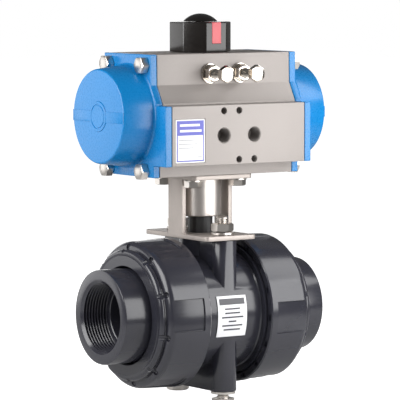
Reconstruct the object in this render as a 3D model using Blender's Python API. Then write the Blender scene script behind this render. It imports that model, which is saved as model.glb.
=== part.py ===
"""Pneumatic actuated valve: a rack and pinion actuator on a bracket, over a true union ball valve.

Units are metres. X runs along the pipe and along the actuator's cylinder, Y from front to back and
Z up the stem. The origin is where the stem's axis meets the pipe's. The valve is modelled closed.
"""

import math

import bmesh
import bpy
from mathutils import Matrix, Vector

MM = 0.001

# Clearances
GAP = 0.3 * MM
SEAL_GAP = 0.15 * MM

# Facets round a full turn
LARGE_SIDES = 36
MEDIUM_SIDES = 20
SMALL_SIDES = 12
HEX = 6

# Valve body and union ends
BODY_HALF = 37.3 * MM
BARREL_R = 39.0 * MM
BARREL_HALF = 22.3 * MM
BODY_THREAD_RISE = 4.5 * MM
PORT_R = 19.0 * MM
VALVE_HALF = 79.0 * MM
TUBE_WALL = 8.7 * MM
MOUTH_STEP = 3.0 * MM
MOUTH_DEPTH = 20.0 * MM
MOUTH_CHAMFER = 1.0 * MM
FLANGE_SETBACK = 1.0 * MM
FLANGE_THICK = 12.4 * MM
SEAL_SETBACK = 4.7 * MM
SEAL_WIRE_R = 1.2 * MM
NUT_WALL = 5.4 * MM
NUT_TAPER = 1.2 * MM
NUT_ROOM = 1.7 * MM
NUT_END_WALL = 9.7 * MM
NUT_FACE_DROP = 9.5 * MM
NUT_SHOULDER = 8.0 * MM
NUT_TUBE_GAP = 1.3 * MM
NUT_PANELS = 5
PANEL_ANGLE = 25.0
PANEL_DEPTH = 1.2 * MM
PANEL_RIM = 5.0 * MM
PANEL_TURN = {"left": -40.0, "right": -32.8}

# Ball, seats and stem
BALL_R = 28.5 * MM
BALL_ROOM = 0.8 * MM
CARRIER_WALL = 2.7 * MM
PASSAGE_STEP = 0.5 * MM
SEAT_BORE_STEP = 1.0 * MM
SEAT_LAND = 2.24 * MM
SEAT_WALL = 6.0 * MM
SEAT_LONG = 8.0 * MM
SLOT_WIDTH = 8.6 * MM
SLOT_FLOOR_WALL = 4.0 * MM
BLADE_SETBACK = 2.0 * MM
STEM_R = 8.2 * MM
STEM_COLLAR_STEP = 1.8 * MM
STEM_COLLAR = 3.9 * MM
STEM_PROUD = 14.2 * MM
STEM_SQUARE = 11.0 * MM
STEM_SQUARE_LONG = 11.5 * MM
STEM_SEAL_DEEP = 9.0 * MM
STEM_SEAL_WIRE_R = 0.8 * MM

# Slabs above and below the barrel
SLAB_HALF_X = 8.5 * MM
SLAB_END = 10.0 * MM
SLAB_SETBACK = 3.0 * MM
SLAB_RISE = 10.0 * MM
SLAB_DROP = 12.0 * MM
STEM_BOSS_R = 14.0 * MM
BODY_BOLT_R = 4.0 * MM
BASE_BOLT_STEP = 1.0 * MM
BODY_BOLT_DEEP = 15.0 * MM
BODY_BOLT_FLATS = 13.0 * MM
BODY_BOLT_HEAD = 5.3 * MM
BODY_NUT_HIGH = 5.5 * MM
BODY_WASHER_R = 8.0 * MM
BODY_WASHER_THICK = 1.6 * MM
STUD_PROUD = 4.6 * MM
FRONT_BOLT_SLACK = 2.7 * MM

# Bracket
SHEET = 3.0 * MM
BRACKET_BASE_X = 20.0 * MM
BRACKET_BASE_END = 11.0 * MM
BRACKET_TOP_END = 5.82 * MM
BRACKET_TOP_Y = 27.5 * MM
BRACKET_HIGH = 42.6 * MM
BRACKET_CORNER_R = 3.0 * MM
LEG_HALF_Y = 8.4 * MM
SPIGOT_WALL = 2.8 * MM
FLANGE_BOLT_CIRCLE_R = 25.0 * MM

# Coupling between the stem and the pinion
COUPLING_R = 14.0 * MM
COUPLING_DROP = 3.4 * MM
COUPLING_SQUARE = 13.4 * MM
COUPLING_SQUARE_LONG = 15.5 * MM

# Actuator body
HALF_LENGTH = 52.45 * MM
BORE_R = 31.5 * MM
LOW_WALL = 7.8 * MM
HIGH_WALL = 9.0 * MM
TOP_FACE_SETBACK = 3.8 * MM
SLOPE_TOP_SETBACK = 3.3 * MM
SLOPE_TOP_DROP = 11.0 * MM
SLOPE_FOOT_REACH = 3.3 * MM
SLOPE_FOOT_RISE = 1.1 * MM
PAD_REACH = 14.1 * MM
PAD_MARGIN_HIGH = 3.9 * MM
PAD_MARGIN_LOW = 3.2 * MM
FOOT_SETBACK = 0.5 * MM
AIR_PORT_X = 12.0 * MM
AIR_PORT_DROP = 12.3 * MM
AIR_PORT_R = 4.9 * MM
AIR_PORT_DEEP = 11.0 * MM
AIR_PASSAGE_R = 2.0 * MM
PAD_SCREW_R = 2.2 * MM
PAD_SCREW_DEEP = 9.0 * MM
PAD_SCREW_RISE = 16.0 * MM

# Screws of the actuator
SCREW_R = 2.7 * MM
SCREW_FLATS = 10.0 * MM
CAP_SCREW_HEAD = 5.0 * MM
CAP_SCREW_Y = 21.1 * MM
CAP_SCREW_LOW = 3.8 * MM
CAP_SCREW_HIGH = 7.0 * MM
CAP_SCREW_DEEP = 11.0 * MM
FLANGE_SCREW_HEAD = 4.0 * MM
FLANGE_SCREW_DEEP = 8.0 * MM
FLANGE_WASHER_R = 6.2 * MM
FLANGE_WASHER_THICK = 1.0 * MM

# End caps
CAP_PLATE = 4.9 * MM
CAP_DEPTH = 27.85 * MM
CAP_FACE_SETBACK = 0.6 * MM
CAP_DRAFT = 2.4 * MM
CAP_EDGE = 0.8 * MM
CAP_WALL = 4.6 * MM
CAP_END_WALL = 3.6 * MM
CAP_RECESS = 1.5 * MM
CAP_RIB_HALF_Z = 4.0 * MM
CAP_RIB_PROUD = 0.5 * MM

# Gear and pistons
MODULE = 1.5 * MM
TEETH = 16
PRESSURE_ANGLE = 20.0
BACKLASH = 0.3 * MM
GEAR_HALF_Z = 12.0 * MM
RACK_MARGIN_Z = 2.0 * MM
RACK_REACH = 22.8 * MM
RACK_BACK_SETBACK = 7.2 * MM
PISTON_FACE_X = 24.5 * MM
PISTON_THICK = 10.0 * MM
PISTON_SEAL_X = 3.8 * MM
PISTON_SEAL_WIDE = 2.4 * MM
PISTON_SEAL_DEEP = 1.8 * MM
QUARTER_TURN = math.radians(90)
SPRING_ROOM = 4.4 * MM
SPRING_WIRE_R = 1.9 * MM
SPRING_TURNS = 4.5
SPRING_STEPS = 14
SPRING_WIRE_SIDES = 6

# Pinion shaft, its bearings and the stop cam
SHAFT_LOW_R = 12.0 * MM
SHAFT_HIGH_R = 7.0 * MM
SHAFT_PROUD = 14.0 * MM
BEARING_WALL = 2.4 * MM
LOWER_BEARING_LONG = 7.4 * MM
CAM_DROP = 7.5 * MM
CAM_THICK = 7.0 * MM
CAM_R = 17.0 * MM
CAM_HUB_R = 10.0 * MM
CAM_EDGE = 6.0 * MM
CAM_ROOM = 1.5 * MM

# Stop screws
STOP_X = 12.0 * MM
STOP_R = 3.0 * MM
STOP_PROUD = 21.8 * MM
STOP_HEAD = 4.0 * MM
STOP_NUT = 5.0 * MM
STOP_WASHER_R = 6.6 * MM
STOP_WASHER_THICK = 1.2 * MM

# Position indicator
INDICATOR_FLATS = 38.3 * MM
INDICATOR_HIGH = 20.0 * MM
INSERT_WIDTH = 7.0 * MM
INSERT_LONG = 14.0 * MM
INSERT_BAR = 3.5 * MM
INSERT_LEG = 6.0 * MM
INSERT_PROUD = 0.3 * MM
DOME_R = 11.5 * MM
DOME_HIGH = 5.5 * MM

# Labels
LABEL_THICK = 0.4 * MM
LABEL_WIDE = 22.6 * MM
LABEL_HIGH = 28.1 * MM
LABEL_MARGIN_X = 2.85 * MM
LABEL_MARGIN_Z = 2.3 * MM
CAUTION_X = (-12.5 * MM, 10.5 * MM)
CAUTION_ANGLES = (-20.5, 19.0)

# Worked out from the above: the valve
PASSAGE_R = PORT_R + PASSAGE_STEP
MOUTH_R = PASSAGE_R + MOUTH_STEP
TUBE_R = MOUTH_R + TUBE_WALL
SEAT_BORE_R = PORT_R + SEAT_BORE_STEP
SEAT_NEAR_X = math.sqrt((BALL_R + GAP) ** 2 - (SEAT_BORE_R + SEAT_LAND) ** 2)
SEAT_FAR_X = SEAT_NEAR_X + SEAT_LONG
SEAT_R = SEAT_BORE_R + SEAT_WALL
SEAT_POCKET_R = SEAT_R + GAP
SEAT_POCKET_X = SEAT_FAR_X + GAP
CHAMBER_R = max(BALL_R + BALL_ROOM, SEAT_POCKET_R + CARRIER_WALL + GAP)
CARRIER_R = CHAMBER_R - GAP
CARRIER_END_X = BODY_HALF - GAP
BODY_THREAD_R = BARREL_R + BODY_THREAD_RISE
FLANGE_R = BODY_THREAD_R - FLANGE_SETBACK
FLANGE_X = BODY_HALF + GAP
SEAL_R = CHAMBER_R + SEAL_SETBACK
NUT_BORE_R = BODY_THREAD_R + 2 * GAP
NUT_HOLE_R = TUBE_R + NUT_TUBE_GAP
NUT_R = NUT_BORE_R + NUT_WALL
NUT_FACE_R = NUT_R - NUT_FACE_DROP
NUT_INNER_X = BARREL_HALF + NUT_ROOM
NUT_LEDGE_X = FLANGE_X + FLANGE_THICK + GAP
NUT_OUTER_X = NUT_LEDGE_X + NUT_END_WALL
SLOT_FLOOR_Z = PORT_R + SLOT_FLOOR_WALL
STEM_COLLAR_R = STEM_R + STEM_COLLAR_STEP
STEM_HOLE_R = STEM_R + GAP
CARRIER_NEAR_X = max(SEAT_NEAR_X, STEM_COLLAR_R + GAP)
BLADE_HALF = STEM_COLLAR_R - BLADE_SETBACK
SLAB_HALF_Y = BARREL_R - SLAB_SETBACK
BODY_BOLT_Y = SLAB_HALF_Y - SLAB_END
BASE_BOLT_Y = BODY_BOLT_Y + BASE_BOLT_STEP
SLAB_TOP_Z = BARREL_R + SLAB_RISE
SLAB_BOTTOM_Z = -BARREL_R - SLAB_DROP
STEM_TOP_Z = SLAB_TOP_Z + STEM_PROUD
STEM_SEAL_Z = SLAB_TOP_Z - STEM_SEAL_DEEP

# Worked out from the above: the bracket and the coupling
PLATE_LOW_Z = SLAB_TOP_Z + GAP
PLATE_TOP_Z = PLATE_LOW_Z + SHEET
FLANGE_BOLT_REACH = FLANGE_BOLT_CIRCLE_R * math.cos(math.radians(45))
BRACKET_BASE_Y = BODY_BOLT_Y + BRACKET_BASE_END
BRACKET_TOP_X = FLANGE_BOLT_REACH + BRACKET_TOP_END
BRACKET_TOP_Z = PLATE_LOW_Z + BRACKET_HIGH
COUPLING_LOW_Z = STEM_TOP_Z + GAP
COUPLING_TOP_Z = BRACKET_TOP_Z - COUPLING_DROP
SPIGOT_R = SHAFT_LOW_R + GAP + BEARING_WALL + SPIGOT_WALL

# Worked out from the above: the actuator
BOTTOM_Z = BRACKET_TOP_Z + GAP
BORE_Z = BOTTOM_Z + BORE_R + LOW_WALL
TOP_Z = BORE_Z + BORE_R + HIGH_WALL
TOP_FACE_Y = BORE_R - TOP_FACE_SETBACK
SLOPE_TOP_Y = BORE_R - SLOPE_TOP_SETBACK
SLOPE_TOP_Z = BORE_Z + BORE_R - SLOPE_TOP_DROP
SLOPE_FOOT_Y = BORE_R + SLOPE_FOOT_REACH
PAD_Y = BORE_R + PAD_REACH
FOOT_Y = BORE_R - FOOT_SETBACK
AIR_PORT_Z = BORE_Z - AIR_PORT_DROP
PAD_TOP_Z = AIR_PORT_Z + PAD_SCREW_RISE + PAD_MARGIN_HIGH
PAD_FOOT_Z = AIR_PORT_Z - PAD_SCREW_RISE - PAD_MARGIN_LOW
SLOPE_FOOT_Z = PAD_TOP_Z + SLOPE_FOOT_RISE
CAP_SCREW_Z = (BOTTOM_Z + CAP_SCREW_LOW, TOP_Z - CAP_SCREW_HIGH)
CAP_X = HALF_LENGTH + GAP
CAP_OUT_X = CAP_X + CAP_PLATE
CAP_FACE_X = CAP_X + CAP_DEPTH
CAP_FACE_R = BORE_R - CAP_FACE_SETBACK
CAP_ROOT_R = CAP_FACE_R + CAP_DRAFT
CAP_RIB_Y = CAP_FACE_R - CAP_EDGE
CAP_BOSS_X = CAP_FACE_X - CAP_RIB_PROUD
PITCH_R = MODULE * TEETH / 2
RACK_PITCH = math.pi * MODULE
STROKE = PITCH_R * QUARTER_TURN
GEAR_LOW_Z = BORE_Z - GEAR_HALF_Z
GEAR_HIGH_Z = BORE_Z + GEAR_HALF_Z
PISTON_R = BORE_R - GAP
PISTON_BACK_X = PISTON_FACE_X + PISTON_THICK
RACK_BACK_Y = PISTON_R - RACK_BACK_SETBACK
SPRING_R = CAP_FACE_R - CAP_WALL - SPRING_ROOM - SPRING_WIRE_R
SHAFT_TOP_Z = TOP_Z + SHAFT_PROUD
CAM_LOW_Z = BORE_Z + BORE_R - CAM_DROP
STOP_Z = CAM_LOW_Z + CAM_THICK / 2
STOP_END_Y = SLOPE_TOP_Y + STOP_PROUD
INDICATOR_TOP_Z = TOP_Z + INDICATOR_HIGH
INSERT_FOOT_Z = INDICATOR_TOP_Z - INSERT_LONG
DOME_TOP_Z = INDICATOR_TOP_Z + DOME_HIGH
LABEL_X = (LABEL_MARGIN_X - HALF_LENGTH, LABEL_MARGIN_X - HALF_LENGTH + LABEL_WIDE)
LABEL_Z = (PAD_FOOT_Z + LABEL_MARGIN_Z, PAD_FOOT_Z + LABEL_MARGIN_Z + LABEL_HIGH)
SIDES = {"left": -1, "right": 1}


def paint(name, colour, roughness, metallic=0.0):
    """A Principled material of one finish."""
    finish = bpy.data.materials.new(name)
    finish.use_nodes = True
    shader = finish.node_tree.nodes["Principled BSDF"]
    shader.inputs["Base Color"].default_value = (*colour, 1.0)
    shader.inputs["Roughness"].default_value = roughness
    shader.inputs["Metallic"].default_value = metallic
    finish.diffuse_color = (*colour, 1.0)
    return finish


def rod(radius, start, end, sides=SMALL_SIDES, turn=0.0, into=None):
    """A cylinder, or a prism of a few sides, from one point to another."""
    shape = into or bmesh.new()
    start = Vector(start)
    end = Vector(end)
    along = end - start
    aim = along.to_track_quat("Z", "Y").to_matrix().to_4x4()
    place = Matrix.Translation((start + end) / 2) @ aim @ Matrix.Rotation(math.radians(turn), 4, "Z")
    bmesh.ops.create_cone(
        shape, cap_ends=True, segments=sides, radius1=radius, radius2=radius, depth=along.length, matrix=place
    )
    return shape


def block(low, high, into=None):
    """A box between two corners."""
    shape = into or bmesh.new()
    low = Vector(low)
    high = Vector(high)
    place = Matrix.Translation((low + high) / 2) @ Matrix.Diagonal((*(high - low), 1.0))
    bmesh.ops.create_cube(shape, size=1.0, matrix=place)
    return shape


def on_plane(axis, across, up, along):
    """A point from its place across a section, up it and along the section's axis."""
    return {"X": (along, across, up), "Y": (across, along, up), "Z": (across, up, along)}[axis]


def prism(outline, start, end, axis):
    """An outline extruded along an axis: the outline's points are YZ, XZ or XY pairs."""
    shape = bmesh.new()
    corners = [shape.verts.new(on_plane(axis, across, up, start)) for across, up in outline]
    face = shape.faces.new(corners)
    grown = bmesh.ops.extrude_face_region(shape, geom=[face])["geom"]
    moved = [item for item in grown if isinstance(item, bmesh.types.BMVert)]
    bmesh.ops.translate(shape, verts=moved, vec=on_plane(axis, 0, 0, end - start))
    bmesh.ops.recalc_face_normals(shape, faces=shape.faces)
    return shape


def turned(profile, axis, centre=(0, 0, 0), sides=LARGE_SIDES, ring=True):
    """A profile of (along, radius) points spun about an axis. A ring closes on itself, a solid on the axis."""
    shape = bmesh.new()
    centre = Vector(centre)
    spoke = {"X": Vector((0, 0, 1)), "Y": Vector((1, 0, 0)), "Z": Vector((1, 0, 0))}[axis]
    line = Vector(on_plane(axis, 0, 0, 1))
    points = [shape.verts.new(centre + line * along + spoke * radius) for along, radius in profile]
    for first, second in zip(points, points[1:]):
        shape.edges.new((first, second))
    if ring:
        shape.edges.new((points[-1], points[0]))
    geometry = list(shape.verts) + list(shape.edges)
    bmesh.ops.spin(shape, geom=geometry, cent=centre, axis=line, angle=math.tau, steps=sides)
    bmesh.ops.remove_doubles(shape, verts=shape.verts, dist=0.001 * MM)
    bmesh.ops.recalc_face_normals(shape, faces=shape.faces)
    return shape


def arc(radius, first, last, steps, centre=(0.0, 0.0)):
    """Points along an arc, from one angle to another in degrees."""
    points = []
    for step in range(steps + 1):
        angle = math.radians(first + (last - first) * step / steps)
        points.append((centre[0] + radius * math.cos(angle), centre[1] + radius * math.sin(angle)))
    return points


def rounded_rectangle(half_across, half_up, radius, steps=3):
    """The outline of a plate with round corners."""
    points = []
    for start, across, up in ((0, 1, 1), (90, -1, 1), (180, -1, -1), (270, 1, -1)):
        centre = (across * (half_across - radius), up * (half_up - radius))
        points += arc(radius, start, start + 90, steps, centre)
    return points


def add_object(name, shape):
    """An object at the origin that takes over a mesh in the making."""
    mesh = bpy.data.meshes.new(name)
    shape.to_mesh(mesh)
    shape.free()
    piece = bpy.data.objects.new(name, mesh)
    bpy.context.scene.collection.objects.link(piece)
    return piece


def solid(name, shape, finish, group):
    """A finished piece, on the empty of the body that it moves with."""
    piece = add_object(name, shape)
    piece.data.materials.append(finish)
    piece.data.shade_smooth()
    piece.data.set_sharp_from_angle(angle=math.radians(32))
    piece.parent = group
    return piece


def boolean(piece, operation, shapes):
    """Joins shapes to a piece, or cuts them out of it, one after the other."""
    for shape in shapes:
        tool = add_object(f"{piece.name}_{operation.lower()}_{len(piece.modifiers)}", shape)
        tool.hide_render = True
        tool.display_type = "WIRE"
        modifier = piece.modifiers.new(operation.title(), "BOOLEAN")
        modifier.operation = operation
        modifier.object = tool


def fuse(piece, *shapes):
    boolean(piece, "UNION", shapes)


def carve(piece, *shapes):
    boolean(piece, "DIFFERENCE", shapes)


def corner_radius(flats):
    """The radius of a hexagon's corners, from the width across its flats."""
    return flats / 2 / math.cos(math.radians(30))


def group(name, place=(0, 0, 0)):
    """An empty on a joint's axis, which the pieces of one body hang from."""
    empty = bpy.data.objects.new(name, None)
    empty.location = place
    bpy.context.scene.collection.objects.link(empty)
    return empty


def hex_bolt(name, finish, owner, seat, direction, head, flats, radius, length, washer=None):
    """A hexagon bolt: its head stands on a seat and its shank runs on along a direction."""
    seat = Vector(seat)
    direction = Vector(direction)
    piece = solid(name, rod(corner_radius(flats), seat - direction * head, seat, HEX), finish, owner)
    fuse(piece, rod(radius, seat - direction * head / 2, seat + direction * length))
    if washer:
        fuse(piece, rod(washer[0], seat - direction * washer[1], seat, MEDIUM_SIDES))


def flat_ring(name, finish, owner, start, end, radius, hole, sides=MEDIUM_SIDES, hole_sides=SMALL_SIDES):
    """A washer or a nut: a prism between two points, with a hole through it."""
    start = Vector(start)
    end = Vector(end)
    piece = solid(name, rod(radius, start, end, sides), finish, owner)
    carve(piece, rod(hole, start * 2 - end, end * 2 - start, hole_sides))


def actuator_section():
    """The outline of the extrusion across its length, as YZ points round from the front foot."""
    half = [
        (FOOT_Y, BOTTOM_Z),
        (FOOT_Y, PAD_FOOT_Z),
        (PAD_Y, PAD_FOOT_Z),
        (PAD_Y, PAD_TOP_Z),
        (SLOPE_FOOT_Y, PAD_TOP_Z),
        (SLOPE_FOOT_Y, SLOPE_FOOT_Z),
        (SLOPE_TOP_Y, SLOPE_TOP_Z),
        (TOP_FACE_Y, TOP_Z),
    ]
    return half + [(-across, up) for across, up in reversed(half)]


def flange_bolt_places():
    """The four corners of the bolt square between the bracket and the actuator."""
    return [(x * FLANGE_BOLT_REACH, y * FLANGE_BOLT_REACH) for x in (-1, 1) for y in (-1, 1)]


def make_valve_body(owner):
    outside = [
        (-BODY_HALF, 0),
        (-BODY_HALF, BODY_THREAD_R),
        (-BARREL_HALF, BODY_THREAD_R),
        (-BARREL_HALF, BARREL_R),
        (BARREL_HALF, BARREL_R),
        (BARREL_HALF, BODY_THREAD_R),
        (BODY_HALF, BODY_THREAD_R),
        (BODY_HALF, 0),
    ]
    inside = [
        (-BODY_HALF - MM, 0),
        (-BODY_HALF - MM, PASSAGE_R),
        (-SEAT_POCKET_X, PASSAGE_R),
        (-SEAT_POCKET_X, SEAT_POCKET_R),
        (-SEAT_NEAR_X, SEAT_POCKET_R),
        (-SEAT_NEAR_X, CHAMBER_R),
        (BODY_HALF + MM, CHAMBER_R),
        (BODY_HALF + MM, 0),
    ]
    body = solid("valve_body", turned(outside, "X", ring=False), PVC, owner)
    reach = SLAB_HALF_Y - SLAB_HALF_X
    slab = arc(SLAB_HALF_X, 0, 180, 8, (0, reach)) + arc(SLAB_HALF_X, 180, 360, 8, (0, -reach))
    fuse(
        body,
        prism(slab, SLAB_BOTTOM_Z, SLAB_TOP_Z, "Z"),
        rod(STEM_BOSS_R, (0, 0, 0), (0, 0, SLAB_TOP_Z), MEDIUM_SIDES),
    )
    collar_top = CHAMBER_R - GAP + STEM_COLLAR
    hole = BODY_BOLT_R + GAP
    holes = bmesh.new()
    for y in (-1, 1):
        stud_y = y * BODY_BOLT_Y
        base_y = y * BASE_BOLT_Y
        rod(hole, (0, stud_y, SLAB_TOP_Z - BODY_BOLT_DEEP), (0, stud_y, SLAB_TOP_Z + MM), into=holes)
        rod(hole, (0, base_y, SLAB_BOTTOM_Z - MM), (0, base_y, SLAB_BOTTOM_Z + BODY_BOLT_DEEP), into=holes)
    carve(
        body,
        turned(inside, "X", ring=False),
        rod(STEM_COLLAR_R + GAP, (0, 0, 0), (0, 0, collar_top), MEDIUM_SIDES),
        rod(STEM_HOLE_R, (0, 0, 0), (0, 0, SLAB_TOP_Z + MM), MEDIUM_SIDES),
        holes,
    )


def make_connector(side, sign, owner):
    """An end connector: a flange held by the union nut and a tube with a threaded mouth."""
    seal_room = SEAL_WIRE_R + GAP
    mouth_x = VALVE_HALF - MOUTH_DEPTH
    profile = [
        (FLANGE_X, PASSAGE_R),
        (FLANGE_X, SEAL_R - seal_room),
        (FLANGE_X + 2 * seal_room, SEAL_R - seal_room),
        (FLANGE_X + 2 * seal_room, SEAL_R + seal_room),
        (FLANGE_X, SEAL_R + seal_room),
        (FLANGE_X, FLANGE_R),
        (FLANGE_X + FLANGE_THICK, FLANGE_R),
        (FLANGE_X + FLANGE_THICK, TUBE_R),
        (VALVE_HALF - MOUTH_CHAMFER, TUBE_R),
        (VALVE_HALF, TUBE_R - MOUTH_CHAMFER),
        (VALVE_HALF, MOUTH_R + MOUTH_CHAMFER),
        (VALVE_HALF - MOUTH_CHAMFER, MOUTH_R),
        (mouth_x, MOUTH_R),
        (mouth_x, PASSAGE_R),
    ]
    shape = turned([(sign * along, radius) for along, radius in profile], "X")
    solid(f"{side}_end_connector", shape, PVC, owner)


def make_union_nut(side, sign, owner):
    """A union nut with recessed grip panels round it."""
    shoulder = [
        (NUT_OUTER_X - NUT_SHOULDER * (1 - math.cos(math.radians(angle))), radius)
        for angle, radius in (
            (angle, NUT_FACE_R + (NUT_R - NUT_TAPER - NUT_FACE_R) * math.sin(math.radians(angle)))
            for angle in (0, 30, 60, 90)
        )
    ]
    profile = [
        (NUT_INNER_X, NUT_BORE_R),
        (NUT_LEDGE_X, NUT_BORE_R),
        (NUT_LEDGE_X, NUT_HOLE_R),
        (NUT_OUTER_X, NUT_HOLE_R),
        *shoulder,
        (NUT_INNER_X, NUT_R),
    ]
    shape = turned([(sign * along, radius) for along, radius in profile], "X")
    nut = solid(f"{side}_union_nut", shape, PVC, owner)
    half = PANEL_ANGLE / 2
    for number in range(NUT_PANELS):
        middle = PANEL_TURN[side] + number * 360 / NUT_PANELS
        floor = arc(NUT_R - PANEL_DEPTH - NUT_TAPER, middle - half, middle + half, 4)
        rim = arc(NUT_R + PANEL_DEPTH, middle + half, middle - half, 4)
        carve(nut, prism(floor + rim, sign * (NUT_INNER_X + PANEL_RIM), sign * (NUT_OUTER_X + MM), "X"))


def make_round_seal(name, axis, place, radius, wire, owner, sides=MEDIUM_SIDES):
    """An O-ring of six flats round its wire."""
    profile = [(place + along, across + radius) for along, across in arc(wire, 0, 300, 5)]
    solid(name, turned(profile, axis, sides=sides), SEAL_RUBBER, owner)


def make_seat(side, sign, owner):
    """A seat ring, whose inner corner follows the ball."""
    reach = BALL_R + GAP
    corner_r = math.sqrt(reach**2 - SEAT_NEAR_X**2)
    profile = [
        (math.sqrt(reach**2 - SEAT_BORE_R**2), SEAT_BORE_R),
        (SEAT_NEAR_X, corner_r),
        (SEAT_NEAR_X, SEAT_R),
        (SEAT_FAR_X, SEAT_R),
        (SEAT_FAR_X, SEAT_BORE_R),
    ]
    solid(f"{side}_ball_seat", turned([(sign * along, radius) for along, radius in profile], "X"), PTFE, owner)


def make_seat_carrier(owner):
    """The ring that screws into the right end and holds the right seat against the ball."""
    profile = [
        (CARRIER_NEAR_X, SEAT_POCKET_R),
        (CARRIER_NEAR_X, CARRIER_R),
        (CARRIER_END_X, CARRIER_R),
        (CARRIER_END_X, PASSAGE_R),
        (SEAT_POCKET_X, PASSAGE_R),
        (SEAT_POCKET_X, SEAT_POCKET_R),
    ]
    carrier = solid("seat_carrier", turned(profile, "X"), PVC, owner)
    key_deep = 4 * MM
    key_half = 2.5 * MM
    carve(carrier, block((CARRIER_END_X - key_deep, -key_half, -CHAMBER_R), (BODY_HALF + MM, key_half, CHAMBER_R)))


def make_ball(owner):
    """The ball, closed: its bore lies along Y and its drive slot along X."""
    reach = math.degrees(math.asin(PORT_R / BALL_R))
    profile = [(along, radius) for radius, along in arc(BALL_R, reach - 90, 90 - reach, 10)]
    ball = solid("ball", turned(profile, "Y"), PVC, owner)
    half = SLOT_WIDTH / 2
    carve(ball, block((-BALL_R, -half, SLOT_FLOOR_Z), (BALL_R, half, BALL_R + MM)))


def make_stem(owner):
    """The valve stem: a blade in the ball's slot, a collar under the body, and a square for the coupling."""
    collar_low = CHAMBER_R - 2 * GAP
    groove_r = STEM_R - 2 * STEM_SEAL_WIRE_R - SEAL_GAP
    groove_half = STEM_SEAL_WIRE_R + SEAL_GAP
    profile = [
        (collar_low, 0),
        (collar_low, STEM_COLLAR_R),
        (collar_low + STEM_COLLAR, STEM_COLLAR_R),
        (collar_low + STEM_COLLAR, STEM_R),
        (STEM_SEAL_Z - groove_half, STEM_R),
        (STEM_SEAL_Z - groove_half, groove_r),
        (STEM_SEAL_Z + groove_half, groove_r),
        (STEM_SEAL_Z + groove_half, STEM_R),
        (STEM_TOP_Z, STEM_R),
        (STEM_TOP_Z, 0),
    ]
    stem = solid("valve_stem", turned(profile, "Z", sides=MEDIUM_SIDES, ring=False), STEM_BLACK, owner)
    blade_half_y = SLOT_WIDTH / 2 - GAP
    square = STEM_SQUARE / 2
    fuse(
        stem,
        block((-BLADE_HALF, -blade_half_y, SLOT_FLOOR_Z + GAP), (BLADE_HALF, blade_half_y, collar_low + MM)),
        block((-square, -square, STEM_TOP_Z - MM), (square, square, STEM_TOP_Z + STEM_SQUARE_LONG)),
    )
    ring_r = STEM_R - STEM_SEAL_WIRE_R
    make_round_seal("stem_seal", "Z", STEM_SEAL_Z, ring_r, STEM_SEAL_WIRE_R, owner)


def make_body_fasteners(owner):
    """Two studs, washers and nuts that hold the bracket, and the two bolts under the valve."""
    shank = BODY_BOLT_DEEP - MM
    for end, sign in (("front", -1), ("back", 1)):
        y = sign * BODY_BOLT_Y
        washer_z = PLATE_TOP_Z + GAP
        nut_z = washer_z + BODY_WASHER_THICK + GAP
        nut_top_z = nut_z + BODY_NUT_HIGH
        hole = BODY_BOLT_R + GAP
        stud = rod(BODY_BOLT_R, (0, y, SLAB_TOP_Z - shank), (0, y, nut_top_z + STUD_PROUD))
        solid(f"{end}_bracket_stud", stud, STEEL, owner)
        top = washer_z + BODY_WASHER_THICK
        flat_ring(f"{end}_stud_washer", STEEL, owner, (0, y, washer_z), (0, y, top), BODY_WASHER_R, hole)
        corner = corner_radius(BODY_BOLT_FLATS)
        flat_ring(f"{end}_stud_nut", STEEL, owner, (0, y, nut_z), (0, y, nut_top_z), corner, hole, HEX)

        slack = BODY_WASHER_THICK + GAP + FRONT_BOLT_SLACK if end == "front" else 0
        seat = (0, sign * BASE_BOLT_Y, SLAB_BOTTOM_Z - GAP - slack)
        hex_bolt(
            f"{end}_base_bolt", STEEL, owner, seat, (0, 0, 1),
            BODY_BOLT_HEAD, BODY_BOLT_FLATS, BODY_BOLT_R, shank + GAP + slack,
        )
    washer_z = SLAB_BOTTOM_Z - GAP
    low = (0, -BASE_BOLT_Y, washer_z - BODY_WASHER_THICK)
    flat_ring(
        "front_base_washer", STEEL, owner, low, (0, -BASE_BOLT_Y, washer_z), BODY_WASHER_R, BODY_BOLT_R + GAP
    )


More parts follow.
